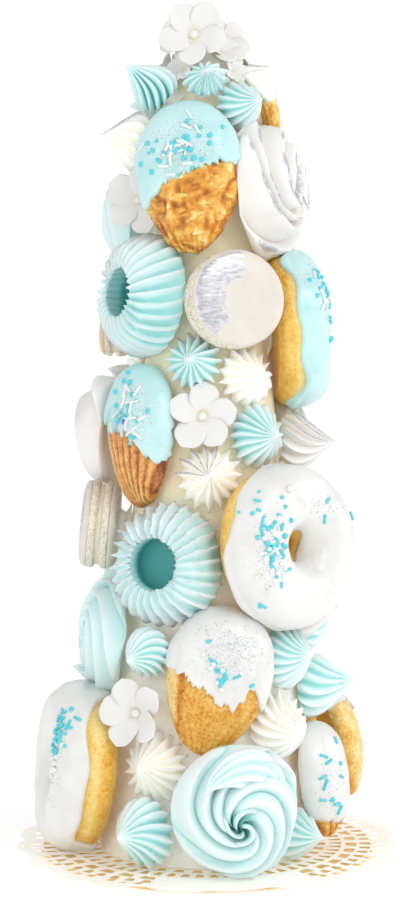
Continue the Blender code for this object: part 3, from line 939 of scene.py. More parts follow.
class Madeleine:
    """The outside of a madeleine, spread over a disc: 0 at its top, 1 where it meets its seat.
    Its ribs fan out from rib_from on, and a strip is a paler border down its left side."""

    def __init__(self, seat, wrinkled=0.6, ribbed=1.0, pale=0.0, strip=0.0, ribs=9, rib_from=0.3):
        self.seat, self.ribs, self.rib_from = seat, ribs, rib_from
        self.wrinkled, self.ribbed, self.pale, self.strip = wrinkled, ribbed, pale, strip
        self.half_width = seat.across / 2 / 1.02  # because its shoulders reach 2 % past this
        self.half_length = seat.length / 2

    def smooth(self, x, y):
        """The smooth outside over this point of the disc."""
        away = np.hypot(x, y)
        turn = np.arctan2(y, x)
        reach = np.interp(away, BODY_STEPS, BODY_TABLE[:, 0])
        height = np.interp(away, BODY_STEPS, BODY_TABLE[:, 1])
        drift = CROWN_LEAN * ease(height, 0.34, 1.0)
        wide = (1 + NARROWING * np.sin(turn)) * reach * np.cos(turn)
        return stack(self.half_width * wide, self.half_length * (reach * np.sin(turn) + drift),
                     self.seat.depth * height)

    def raised(self, x, y, height):
        """Points this many millimetres over the smooth outside, with none below the seat."""
        return above_seat(self.smooth(x, y) + normals_of(self.smooth, x, y, 0.02) * height[..., None])

    def relief(self, x, y):
        """The ribs and wrinkles of the crust, in millimetres, and how high its ribs stand."""
        points, seed = self.smooth(x, y), self.seat.seed
        fan = np.arctan2(points[..., 0], points[..., 1] + self.half_length * FAN)
        rib = np.abs(np.cos(fan * self.ribs * 2.6 + noise(points, 16, seed) * 0.5))
        strength = self.ribbing(x, y) * (0.7 + 0.3 * noise(points, 20, seed + 1))
        warped = points + 3 * noise(points, 9, seed)[..., None]
        folds = 1 - 3.2 * np.abs(noise(warped, 11, seed + 2))
        creases = 1 - 3.0 * np.abs(noise(points, 6, seed + 5))
        wrinkles = 1.0 * np.clip(folds, -0.6, 1) + 0.4 * np.clip(creases, -0.7, 1) - 0.3
        wrinkles = wrinkles * self.wrinkled
        fine = 0.16 * noise(points, 2.6, seed + 3) + 0.10 * noise(points, 1.5, seed + 4)
        return 1.6 * self.ribbed * (rib - 0.6) * strength + wrinkles + fine, rib * strength

    def ribbing(self, x, y):
        """How far the ribs have come up here, from 0 in the smooth middle to 1."""
        return ease(np.hypot(x, y), self.rib_from, self.rib_from + 0.4)

    def crust(self):
        rows, sides = CRUST_GRID
        turn = once_round(sides)
        away = np.linspace(0.02, 1, rows)[:, None]
        x, y = away * np.cos(turn), away * np.sin(turn)
        height, rib = self.relief(x, y)
        points = self.raised(x, y, height * (1 - ease(away, 0.93, 1.0)))
        edge = ease(away, 0.62, 0.86) * (1 - 0.5 * ease(away, 0.93, 1))
        # The tone carries painted shade, lower in the hollows of the relief and between the ribs. It
        # also darkens towards the edge, where the crust browns.
        tone = 0.52 + 0.10 * self.wrinkled + 0.20 * np.clip(height, -1, 1) + self.pale
        tone = tone - (0.22 + 0.1 * self.wrinkled) * edge
        tone = tone - 0.34 * self.ribbed ** 2 * np.clip(0.62 - rib, 0, 1) * self.ribbing(x, y)
        side = ease(-x, 0.46, 0.54) * ease(y, -0.95, -0.5)
        border = np.exp(-((x + 0.44) / 0.05) ** 2)
        tone = tone + self.strip * (side * (0.34 + 0.2 * edge) - 0.30 * border)
        shape = Shape()
        # The crest paint puts painted highlight on the ribs and painted shade between them.
        shape.grid(points, 0.5 + 0.4 * self.ribbed * (rib - 0.5), self.wrinkled, tone, flip=True)
        shape.lid(points[0])
        shape.lid(points[-1], flip=True)
        return shape

    def glaze(self, edge, patches, teeth):
        """Glaze over the wide end, down to a jagged edge. The edge is given by its height up the
        sweet at places across it, both from -1 to 1."""
        chance = np.random.default_rng(self.seat.seed + 5)
        turn = once_round(GLAZE_SIDES)
        across, up = np.cos(turn), np.sin(turn)
        places, heights = np.array(edge).T
        limit = np.full(turn.shape, 0.1)
        for t in np.linspace(0.1, 1.5, 141):
            x, y = t * across, GLAZE_MIDDLE + t * up
            line = np.interp(x, places, heights)
            inside = (np.hypot(x, y) < 0.95) & (y > line)
            limit = np.where(inside & (limit > t - 0.02), t, limit)
        jag = chance.uniform(-1, 1, turn.shape) * teeth
        jag = jag + 0.6 * teeth * noise(stack(turn * 9, 0, 0), 1.0, self.seat.seed)
        limit = limit + np.where(up < -0.05, jag, 0)
        t = np.concatenate((np.linspace(0.03, 0.9, 22), (0.94, 0.97, 0.99, 1.0, 1.0)))[:, None]
        x, y = t * limit * across, GLAZE_MIDDLE + t * limit * up
        lip = np.concatenate((np.ones(22), (0.97, 0.85, 0.6, 0.25, -0.5)))[:, None]
        swell = 1 + 0.35 * ease(t, 0.75, 0.93)
        bare = self.smooth(x, y)
        soft = 0.15 * self.relief(x, y)[0] + 0.4 * noise(bare, 12, self.seat.seed + 6)
        points = self.raised(x, y, (GLAZE_THICKNESS * swell + soft) * lip)
        shape = Shape()
        clouds = 0.5 + 0.3 * noise(points, 18, self.seat.seed + 7)
        shape.grid(points, 0.5, glittered(points, patches), clouds, flip=True)
        shape.lid(points[0])
        return shape


# The edge of the glaze is its height at places across the sweet, with teeth this deep. A topping
# is a kind, how many, the middle of their patch and how far it spreads.
MADELEINES = {
    "madeleine_top": {
        "wrinkled": 1.1, "ribbed": 0.7,
        "edge": ((-1, -0.26), (-0.6, -0.28), (-0.2, -0.14), (0.2, -0.06), (0.6, 0.04), (1, 0.20)),
        "toppings": (("white_rods", 13, (-4, 10), (7, 4)), ("aqua_beads", 30, (-4, 12), (8, 6)),
                     ("glitter", 90, (-2, 10), (5, 4)), ("glitter", 60, (0, 14), (13, 9)),
                     ("white_rods", 3, (9, 24), (4, 3)),
                     ("aqua_beads", 6, (9, 22), (5, 5)))},
    "madeleine_left": {
        "wrinkled": 0.2, "ribbed": 1.15, "pale": 0.10, "ribs": 10.5, "rib_from": -0.1,
        "glossy": True, "teeth": 0.085,
        "edge": ((-1, 0.20), (-0.5, 0.12), (-0.2, 0.04), (0.1, -0.08), (0.4, -0.22), (0.7, -0.32),
                 (1, -0.36)),
        "toppings": (("white_rods", 15, (9, 10), (6, 9)), ("aqua_beads", 20, (8, 9), (6, 9)),
                     ("purple_beads", 2, (5, 6), (0.8, 0.8)), ("glitter", 110, (8, 8), (9, 13)),
                     ("aqua_beads", 5, (4, 26), (6, 3)))},
    "madeleine_front": {
        "white": True, "wrinkled": 0.1, "ribbed": 0.45, "strip": 1.0, "pale": 0.04,
        "edge": ((-1, 0.10), (-0.74, 0.05), (-0.31, -0.11), (0.25, -0.27), (0.38, -0.06),
                 (0.52, -0.1), (0.73, -0.2), (1, -0.1)),
        "toppings": (("aqua_rods", 6, (4, 10), (13, 10)), ("aqua_rods", 7, (0, 3), (1.6, 2.4)),
                     ("glitter", 260, (2, 17), (9, 8)), ("white_beads", 12, (-2, 8), (9, 8)))},
    "madeleine_right": {
        "white": True, "edge": ((-1, -0.30), (-0.5, -0.36), (-0.1, -0.50), (0.4, -0.3), (1, -0.4)),
        "toppings": (("aqua_rods", 9, (-11, 3), (6, 12)), ("aqua_beads", 2, (-11, 2), (6, 12)),
                     ("glitter", 30, (-12, 4), (6, 12)))},
    "madeleine_right_back": {
        "white": True, "pale": 0.36, "wrinkled": 0.3, "ribbed": 0.4,
        "edge": ((-1, 0.72), (-0.3, 0.55), (0.3, 0.3), (1, 0.1))},
    "madeleine_top_back": {
        "white": True, "pale": 0.34, "wrinkled": 0.3, "ribbed": 0.6,
        "edge": ((-1, 0.3), (0, 0.1), (1, 0.2)), "toppings": ()},
}
PLAIN_MADELEINE = {
    "white": False, "glossy": False, "teeth": 0.028,
    "edge": ((-1, -0.1), (-0.5, -0.24), (0, -0.12), (0.5, -0.3), (1, -0.16)),
    "toppings": (("white_rods", 8, (0, 8), (8, 7)), ("aqua_beads", 12, (0, 8), (9, 8)),
                 ("glitter", 80, (0, 8), (9, 9)))}


def make_madeleine(node):
    seat = Seat(node, oblong=True)
    look = {**PLAIN_MADELEINE, **MADELEINES.get(node, {})}
    white, glossy, teeth = look.pop("white"), look.pop("glossy"), look.pop("teeth")
    edge, toppings = look.pop("edge"), look.pop("toppings")
    sweet = Madeleine(seat, **look)
    sponge = GLOSSY_SPONGE if glossy else SPONGE
    piece(node + "_crust", sweet.crust(), sponge, seat.slot, seat.matrix, node)
    finish_glaze(node, seat, sweet.glaze(edge, toppings, teeth), white, toppings)


# ---------------------------------------------------------------- doughnuts

DOUGH_PROFILE = ((0.60, 0.0), (0.90, 0.12), (0.99, 0.28), (0.985, 0.42), (1.0, 0.56), (0.90, 0.76),
                 (0.66, 0.92), (0.34, 0.985), (0.0, 1.0), (-0.38, 0.96), (-0.72, 0.82),
                 (-0.95, 0.58), (-1.0, 0.36), (-0.88, 0.12), (-0.60, 0.0))


DOUGH_STEPS = 141
OUTER_STEPS = 57  # those of the outer side, below the top
BAND = 0.40  # how high the pale band lies, where the dough floated


class Doughnut:
    """The outside of a ring doughnut. It is laid out by how far round its section a point lies,
    from 0 to 1, and by its angle round the hole."""

    def __init__(self, seat):
        self.seat = seat
        self.middle = (seat.width + seat.hole) / 4
        self.half = (seat.width - seat.hole) / 4
        self.table = smooth_through(DOUGH_PROFILE, DOUGH_STEPS)
        self.steps = np.linspace(0, 1, DOUGH_STEPS)

    def outside(self, s, turn):
        """The smooth outside. It runs from the outer side of the seat over the top to the hole."""
        across = np.interp(s, self.steps, self.table[:, 0])
        up = np.interp(s, self.steps, self.table[:, 1])
        sway = 1 + 0.012 * np.sin(2 * turn + self.seat.seed) + 0.008 * np.sin(3 * turn)
        reach = (self.middle + self.half * across) * sway
        return round_points(reach, turn, self.seat.depth * up)

    def raised(self, s, turn, height):
        """Points this many millimetres over the smooth outside, with none below the seat."""
        normals = -normals_of(self.outside, s, turn, 0.01)
        return above_seat(self.outside(s, turn) + normals * height[..., None])

    def lumps(self, s, turn):
        """How far the dough bulges here, in millimetres."""
        points, seed = self.outside(s, turn), self.seat.seed
        bulge = 0.7 * noise(points, 16, seed) + 0.35 * noise(points, 5, seed + 1)
        return (bulge + 0.15 * noise(points, 2, seed + 2)) * (1 - ease(np.abs(s - 0.5), 0.42, 0.5))

    def dough(self):
        turn = once_round(120)
        s = np.linspace(0, 1, 46)[:, None]
        lumps = self.lumps(s, turn)
        points = self.raised(s, turn, lumps)
        up = points[..., 2] / self.seat.depth
        pale = np.exp(-((up - BAND) / 0.10) ** 2)
        shape = Shape()
        shape.grid(points, 0.5, 0.25, 0.38 + 0.45 * pale + 0.2 * lumps)
        shape.grid(points[[-1, 0]], 0.5, 0, 0.3)
        return shape

    def glaze(self, patches, low=0.36, wave=0.05, drips=(), inner=0.74):
        """Glaze over the top. Its outer edge lies this high and waves, with drips given by their
        angle, their width and how far they run."""
        turn = once_round(GLAZE_SIDES)
        seed = self.seat.seed
        height = low + wave * (np.sin(3 * turn + seed) * 0.5 + np.sin(5 * turn + 2 * seed) * 0.5
                               + 0.5 * np.sin(9 * turn + 3 * seed))
        for angle, width, run in drips:
            height = height - run * np.exp(-(degrees_from(angle, turn) / width) ** 2)
        outer = self.table[:OUTER_STEPS, 1]
        first = np.interp(np.clip(height, 0.06, 0.9), outer, self.steps[:OUTER_STEPS])
        last = inner + 0.03 * np.sin(2 * turn + seed)
        t = np.concatenate(((0, 0, 0.01, 0.03, 0.06), np.linspace(0.1, 0.92, 26), (0.97, 1, 1)))
        lip = np.concatenate(((-0.4, 0.3, 0.75, 0.97, 1.05), np.ones(26), (0.8, 0.4, -0.4)))
        t, lip = t[:, None], lip[:, None]
        s = first + (last - first) * t
        swell = 1 + 0.6 * np.exp(-((t - 0.07) / 0.06) ** 2) - 0.45 * ease(t, 0.6, 0.85)
        soft = 0.4 * noise(self.outside(s, turn), 18, seed + 3)
        points = self.raised(s, turn, self.lumps(s, turn) + (GLAZE_THICKNESS * swell + soft) * lip)
        shape = Shape()
        shape.grid(points, 0.5, glittered(points, patches), 0.5 + 0.3 * noise(points, 20, seed + 4))
        return shape


DOUGHNUTS = {
    "doughnut_front": {
        "white": True, "low": 0.20, "drips": ((150, 26, -0.34),), "inner": 0.80,
        "toppings": (("aqua_rods", 22, (-27, 4), (6, 13)), ("aqua_beads", 28, (-26, 8), (8, 14)),
                     ("aqua_rods", 3, (20, 14), (6, 6)), ("white_beads", 30, (-30, -4), (5, 9)),
                     ("glitter", 90, (-29, 0), (6, 11)), ("glitter", 40, (12, 20), (10, 4)),
                     ("pearls", 1, (-13, 29), (0.5, 0.5)), ("pearls", 1, (-30, -19), (0.5, 0.5)))},
    "doughnut_right": {
        "low": 0.38, "wave": 0.08, "drips": ((255, 16, 0.16), (120, 14, 0.08)),
        "toppings": (("aqua_beads", 34, (-30, 16), (4, 11)), ("white_rods", 7, (-28, 12), (5, 11)),
                     ("glitter", 60, (-28, 12), (6, 12)))},
    "doughnut_left": {
        "white": True, "low": 0.55, "wave": 0.03, "drips": ((-70, 10, 0.46), (80, 22, 0.56)),
        "toppings": (("aqua_rods", 30, (27, 20), (3, 5)), ("aqua_beads", 12, (29, 23), (4, 8)),
                     ("white_beads", 24, (29, 8), (3, 6)), ("pearls", 1, (31, 3), (0.3, 0.3)),
                     ("glitter", 90, (28, 12), (4, 10)))},
    "doughnut_back": {
        "white": True, "low": 0.38,
        "toppings": (("aqua_rods", 24, (14, 18), (12, 10)), ("white_beads", 20, (10, 16), (13, 12)),
                     ("pearls", 2, (-10, 18), (10, 8)), ("glitter", 60, (10, 16), (12, 11)))},
}


def make_doughnut(node):
    seat = Seat(node)
    look = dict(DOUGHNUTS[node])
    white, toppings = look.pop("white", False), look.pop("toppings")
    sweet = Doughnut(seat)
    piece(node + "_dough", sweet.dough(), DOUGH, seat.slot, seat.matrix, node)
    finish_glaze(node, seat, sweet.glaze(toppings, **look), white, toppings)


# ---------------------------------------------------------------- macarons

SHELL_PROFILE = ((0.90, 0.42), (0.975, 0.46), (0.995, 0.55), (0.985, 0.68), (0.945, 0.82),
                 (0.86, 0.92), (0.66, 0.985), (0.40, 1.0), (0.02, 1.0))


FILLED = 0.06  # half the height of the filling, as a share of the macaron's
STROKE = 78  # how far the brushed silver goes to either side of its middle, in degrees


def half_height(depth, side, up):
    """The height of a place on one half of a macaron: 0 at its filling, 1 at its top."""
    return depth * (0.5 + side * (FILLED + (0.5 - FILLED) * up))


def macaron_shells(radius, depth, seed, silver, brushed):
    """Two smooth shells. Silver is brushed in an arc about an angle of the outer one."""
    section = smooth_through(SHELL_PROFILE, 41)
    turn = once_round(96)
    size, up = section[:, 0][:, None], section[:, 1][:, None]
    shape = Shape()
    for side in (1, -1):
        reach = radius * size * (1 + 0.006 * np.sin(2 * turn + seed + side))
        points = round_points(reach, turn, half_height(depth, side, up))
        points[..., 2] += noise(points, 12, seed) * 0.25 * ease(up, 0.5, 0.9)
        strokes = noise(stack(size * radius, np.cos(turn) * radius, np.sin(turn) * radius)
                        * (1.6, 0.16, 0.16), 1.0, seed)
        arc = np.exp(-(degrees_from(brushed, turn) / STROKE) ** 4)
        arc = arc * ease(size, 0.20, 0.62) * (1 - ease(size, 0.90, 0.985))
        leaf = silver * np.clip(arc * (0.95 + 0.6 * strokes) + 0.16 + 0.2 * strokes, 0, 1)
        shape.grid(points, 0.5, leaf, 0.5 + 0.2 * up, flip=side < 0)
        shape.lid(points[-1], flip=side < 0)
    return shape


def macaron_feet(radius, depth, seed):
    """The two frilled feet, one on each shell."""
    turn = once_round(170)
    up = np.array((0.47, 0.44, 0.38, 0.31, 0.24, 0.17, 0.09, 0.02, 0.0))[:, None]
    size = np.array((0.955, 0.995, 1.01, 1.0, 1.01, 0.995, 1.0, 0.95, 0.80))[:, None]
    shape = Shape()
    for side in (1, -1):
        height = half_height(depth, side, up)
        bare = round_points(radius * size, turn, height)
        frill = 0.35 * noise(bare, 2.2, seed + side) + 0.35 * noise(bare, 1.2, seed + 3)
        uneven = 0.25 * noise(bare, 1.8, seed + 5)
        points = round_points(radius * size + frill, turn, height + uneven)
        shape.grid(points, 0.5, 0, 0.5 + 0.4 * frill, flip=side > 0)
        shape.lid(points[-1], flip=side > 0)
    return shape


def macaron_filling(radius, depth, seed):
    """The edge of the filling, between the feet."""
    turn = once_round(90)
    up = np.linspace(-1, 1, 7)[:, None]
    uneven = 0.5 * noise(round_points(radius, turn, up * 2), 5, seed)
    reach = radius * (0.90 + 0.03 * (1 - up ** 2)) + uneven
    shape = Shape()
    shape.grid(round_points(reach, turn, depth * (0.5 + 0.10 * up)))
    return shape


# How much silver each has, the angle that it is brushed about and the finish of its shells.
MACARONS = {"macaron_front": (1.0, 158, SHELL), "macaron_left_high": (0.5, 130, TAN_SHELL),
            "macaron_left_low": (0.9, 60, SHELL)}


def make_macaron(node):
    seat = Seat(node)
    silver, brushed, finish = MACARONS.get(node, (0.5, 130, SHELL))
    size = (seat.width / 2, seat.depth, seat.seed)
    shells = macaron_shells(*size, silver, brushed)
    piece(node + "_shells", shells, finish, seat.slot, seat.matrix, node)
    piece(node + "_feet", macaron_feet(*size), FEET, seat.slot, seat.matrix)
    piece(node + "_filling", macaron_filling(*size), FILLING, "icing", seat.matrix)


# ---------------------------------------------------------------- sugar flowers

PETAL_THICKNESS = 0.7
PETALS = 5
HEART = np.array(((0.10, 0.17, 0.2, 0.12), (0.0, 0.05, 0.25, 0.34)))  # its reach and its height


def petal_points(length, width, cup, seed, rows):
    """A round petal along x, cupped, as rings across it that each go over and back under."""
    along = 0.03 + 0.97 * np.sin(np.linspace(0, math.pi / 2, rows))[:, None]
    off = np.abs(along - 0.56) / 0.441
    outline = np.sqrt(np.clip(1 - off ** np.where(along > 0.56, 2.7, 2), 0, 1))
    outline = np.maximum(outline, 0.42 * (1 - ease(along, 0.3, 0.9)))
    across = np.concatenate((np.linspace(-1, 1, 13), np.linspace(1, -1, 13)))
    under = np.concatenate((np.zeros(13), np.ones(13)))
    rim = np.sqrt(np.clip(1 - np.abs(across) ** 6, 0, 1)) * ease(1.03 - along, 0, 0.06)
    x = length * along * (1 - 0.05 * across ** 2)
    y = width / 2 * outline * across
    z = cup * (np.sin(along * math.pi * 0.52) ** 1.2 + 0.25 * (y / width * 2) ** 2 * along)
    z = z + 0.3 * np.sin(along * 5 + across * 2 + seed) * along
    return stack(x, y, z + PETAL_THICKNESS * (0.5 - under) * np.maximum(rim, 0.15))


def sugar_flower(width, depth, seed, turn, nod=np.eye(3), cup=0.4, wide=0.92, rows=17):
    """Five cupped petals, each with one side over the next."""
    chance = np.random.default_rng(seed)
    petals = Shape()
    length = width / 2 * 0.97
    tilt = Matrix.Rotation(math.radians(5), 3, "X")
    for i in range(PETALS):
        size = chance.uniform(0.95, 1.04)
        points = petal_points(length * size, length * wide * size,
                              depth * cup * chance.uniform(0.9, 1.1), seed + i, rows)
        place = Matrix.Rotation(turn + i * TURN / PETALS + chance.normal(0, 0.05), 3, "Z")
        points = points @ np.array(place @ tilt).T
        points[..., 2] += depth * 0.26 + 0.1 * i
        points = points @ nod.T
        points[..., 2] = np.clip(points[..., 2], 0.1, depth * 1.8)
        reach = np.hypot(points[..., 0], points[..., 1]) / length
        petals.grid(points, 0.5, 0, 0.15 + 0.85 * ease(reach, 0.05, 0.35), flip=True)
        petals.lid(points[0])
        petals.lid(points[-1], flip=True)
    reach, height = HEART[:, :, None]
    heart = round_points(reach * width, once_round(24), height * depth)
    petals.grid(heart, 0.5, 0, 0.2)
    petals.lid(heart[0], flip=True)
    petals.lid(heart[-1], tone=0.1)
    return petals


# How far each flower is turned, how far it nods back and to its left, in degrees, its size beside
# its node's, and how deep its petals are cupped.
FLOWERS = {"flower_top": (54, -20, 0, 1.16, 0.5), "flower_top_right": (50, -10, 0, 1.1, 0.5),
           "flower_top_left": (0, -8, 0, 1.1, 0.5), "flower_middle": (15, 9, 0, 1.03, 0.3),
           "flower_upper_left": (8, 0, 12, 1.28, 0.5),
           "flower_lower_left": (40, 4, 9, 1.13, 0.85)}


def make_flower(node):
    seat = Seat(node)
    *angles, size, cup = FLOWERS[node]
    turn, back, left = (math.radians(angle) for angle in angles)
    nod = np.array(Matrix.Rotation(-back, 3, "X") @ Matrix.Rotation(left, 3, "Y"))
    shape = sugar_flower(seat.width * size, seat.depth, seat.seed, turn, nod, cup, 0.84, 27)
    piece(node + "_petals", shape, PETAL, seat.slot, seat.matrix, node)
    middle = nod @ (0, 0, seat.depth * 0.36)
    strew("pearls", seat, middle, nod @ (0, 0, 1), 0, ball_points(2.3, 11, 16), 1.2)


# ---------------------------------------------------------------- the cone, the stand

CONE_LOW, CONE_HIGH = (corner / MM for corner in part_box("cone"))
CONE_BASE = (CONE_HIGH.x - CONE_LOW.x) / 2
DOME = 19  # how round the tip of the cone is
SHOULDER = CONE_HIGH.z - DOME  # the height at which the dome starts


def cone_radius(height):
    """How far out the side of the cone lies at this height."""
    return CONE_BASE + (DOME - CONE_BASE) * (height - CONE_LOW.z) / (SHOULDER - CONE_LOW.z)


def iced_cone():
    """The coat of icing, with the marks of the palette knife, and its small dome."""
    around = once_round(110)
    height = np.linspace(CONE_LOW.z, SHOULDER, 150)[:, None]
    ring = round_points(cone_radius(height), around, height)
    trowel = noise(ring * (1, 1, 2.5), 22, 3) * 0.9 + noise(ring, 6, 5) * 0.35
    outward = stack(np.cos(around), np.sin(around), 0)
    ring = ring + outward * trowel[..., None]
    # Painted shade: the icing turns darker and yellower from about halfway up the cone, where the
    # sweets crowd round it, and is palest at its foot.
    pale = ease(1 - (height - CONE_LOW.z) / (CONE_HIGH.z - CONE_LOW.z), 0.55, 0.95)
    shape = Shape()
    shape.grid(ring, 0.5, 0, 0.25 + 0.75 * pale)
    climb = np.linspace(0, math.pi / 2 * 0.98, 14)[:, None]
    cap = round_points(DOME * np.cos(climb), around, SHOULDER + DOME * np.sin(climb))
    cap = cap + noise(cap, 7, 9)[..., None] * 0.8 * (outward + (0, 0, -0.6))
    cap[0] = ring[-1]
    # The dome takes the same painted shade low down and is lightest at its top.
    shape.grid(cap, 0.5, 0, 0.3 + 0.6 * ease(climb, 0.1, 0.7))
    shape.lid(cap[-1], tone=0.9)
    piece("icing", shape, ICING, "icing", stands_for="cone")


ROUNDING = 0.8  # of the board's edge


def cake_board():
    """A flat board with a rounded edge, and rings of points over its two faces."""
    _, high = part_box("cake_board")
    radius, depth = high.x / MM, high.z / MM
    face = radius - ROUNDING
    keys = np.array(((face, 0.0), (radius, 0.5), (radius, depth - 0.5), (face, depth)))
    around = once_round(160)
    shape = Shape()
    shape.grid(round_points(keys[:, :1], around, keys[:, 1:]))
    for height in (depth, 0):
        disc = round_points(face * np.linspace(1, 0.02, 12)[:, None], around, height)
        shape.grid(disc, flip=height == 0)
        shape.lid(disc[-1], flip=height == 0)
    piece("gold_board", shape, GOLD, "gold_board", stands_for="cake_board")


SCALLOPS = 20
SCALLOP = TURN / SCALLOPS  # the angle that one takes up
SCALLOP_DEPTH = 4.5
PAPER_THICKNESS, EMBOSS, LACE_WAVE = 0.35, 0.12, 2.2
LACE_INSIDE = 50.0  # the radius where the sheet stops under the cone
# The stretch of lace that is left uncut from this radius outwards, as angles.
PLAIN_FROM, PLAIN_TO, PLAIN_REACH = math.radians(150), math.radians(192), 71
CORNER = 0.28  # how much of a cut-out's side its round corners take up
# The rings of cut-outs: their radius, how many to a scallop, how wide and how deep each is, how
# much it narrows towards the centre, and how far its outer side bulges.
LACE_RINGS = ((59.5, 2, 6.2, 5.8, 0.45, 0.8), (68.0, 3, 5.2, 6.6, 0.5, 0.0),
              (76.0, 2, 9.0, 5.2, 0.3, 1.2), (83.6, 3, 6.2, 5.6, 0.45, 0.5))


def wedge_hole(turn, radius, width, depth, pull, bulge=0.0):
    """A cut-out of the lace, as (radius, angle) points: a four-sided opening with round corners."""
    half = width / 2
    points = []
    for across, along in ((-1, 1), (1, 1), (1, -1), (-1, -1)):
        for t in (-0.25, 0, 0.25):
            corner = math.atan2(along, across) - t * math.pi
            x = half * (across * (1 - CORNER) + CORNER * math.cos(corner))
            y = depth / 2 * (along * (1 - CORNER) + CORNER * math.sin(corner))
            x *= 1 - pull * (0.5 - y / depth)
            y += bulge * (1 - (x / half) ** 2) * (y > 0)
            points.append((radius + y, x / radius + turn))
    return points


def lace_holes():
    """The cut-outs of one scallop's wedge: those of the rings, and three in an arch."""
    holes = []
    for radius, count, *shape in LACE_RINGS:
        for i in range(count):
            holes.append(wedge_hole(((i + 0.5) / count - 0.5) * SCALLOP, radius, *shape))
    for i in (-1, 0, 1):
        holes.append(wedge_hole(i / 3 * SCALLOP * 0.8, 91.0 - 1.3 * i * i, 5.4, 5.2, 0.2))
    return holes


def doily():
    """Paper lace: each scallop's wedge is cut into triangles with its holes left out."""
    low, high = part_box("doily")
    radius, bottom = high.x / MM, low.z / MM
    edge = []
    for share in np.linspace(0, 1, 13):
        notch = SCALLOP_DEPTH * (1 - math.sin(math.pi * share) ** 0.7)
        edge.append((radius - notch, (share - 0.5) * SCALLOP))
    inner = [(LACE_INSIDE, (0.5 - i / 3) * SCALLOP) for i in range(4)]
    loops = [[Vector((r * math.sin(a), r * math.cos(a))) for r, a in loop]
             for loop in (edge + inner, *lace_holes())]
    edges = []
    for loop in loops:
        start = len(edges)
        edges += [(start + i, start + (i + 1) % len(loop)) for i in range(len(loop))]
    flat, _, faces, *_ = geometry.delaunay_2d_cdt(sum(loops, []), edges, [], 1, 1e-4)
    cut, plain = [], []
    for face in faces:
        spot = sum((flat[i] for i in face), Vector((0, 0))) / 3
        paper = not any(within(spot, hole) for hole in loops[1:])
        if paper:
            cut.append(face)
        if paper or spot.length > PLAIN_REACH:
            plain.append(face)
    shape = Shape()
    plane = np.array(flat)
    reach = np.hypot(plane[:, 0], plane[:, 1])
    angle = np.arctan2(plane[:, 0], plane[:, 1])
    for i in range(SCALLOPS):
        middle = (i + 0.5) * SCALLOP
        triangles = np.array(plain if PLAIN_FROM < middle < PLAIN_TO else cut)
        turned = angle + middle
        sheet = stack(reach * np.sin(turned), reach * np.cos(turned), 0)
        wave = ease(reach, 84, radius) * (0.5 + 0.5 * noise(sheet, 26, 4)) * LACE_WAVE
        emboss = EMBOSS * np.sin(reach * 1.1)
        for side, offset in ((1, PAPER_THICKNESS), (-1, 0)):
            sheet[:, 2] = bottom + offset + wave + emboss
            shape.add(sheet.copy(), triangles[:, ::side], (0.5, 0, 0.5))
    piece("paper_lace", shape, PAPER, "paper_lace", stands_for="doily")


def within(spot, loop):
    """True if the spot lies inside the loop."""
    inside = False
    for a, b in zip(loop, loop[1:] + loop[:1]):
        if (a.y > spot.y) != (b.y > spot.y):
            if spot.x < (b.x - a.x) * (spot.y - a.y) / (b.y - a.y) + a.x:
                inside = not inside
    return inside


# ---------------------------------------------------------------- small sweets and dabs

BACK_FROM = 92  # the bearing from which the sweets no longer show from the front
# The spots to try there: their heights on the cone and their bearings.
BACK_SPOTS = (range(18, 398, 5), range(BACK_FROM, 361 - BACK_FROM, 3))
SMALL_COUNT = 90
SMALL_REACH = (12, 17)
SMALLEST = 8.5  # the least room that a small sweet still fits in
OVERLAP = 6  # how far it may reach in under its neighbours
SMALL_DEPTH = 8  # of a small flower
FAR = 99.0
# The bearing, the height in degrees and the reach of the flowers round the crown.
CROWN_FLOWERS = ((140, 22, 12), (200, 40, 13), (255, 20, 12), (88, 38, 11), (32, 46, 12),
                 (40, 14, 8), (-36, 18, 9))
SMALL_KINDS = {"small_aqua_kisses": (AQUA, "aqua_meringue"),
               "small_cream_kisses": (CREAM, "cream_meringue"),
               "small_white_kisses": (WHITE, "white_sugar"),
               "small_flowers": (PETAL, "white_sugar")}
SHARES = (0.36, 0.28, 0.18, 0.18)  # how common each of these kinds is


def way_to(bearing, climb):
    """The way that faces this bearing, counted from the front, and climbs by this angle."""
    angle = math.radians(bearing)
    return Vector((math.sin(angle) * math.cos(climb), -math.cos(angle) * math.cos(climb),
                   math.sin(climb)))


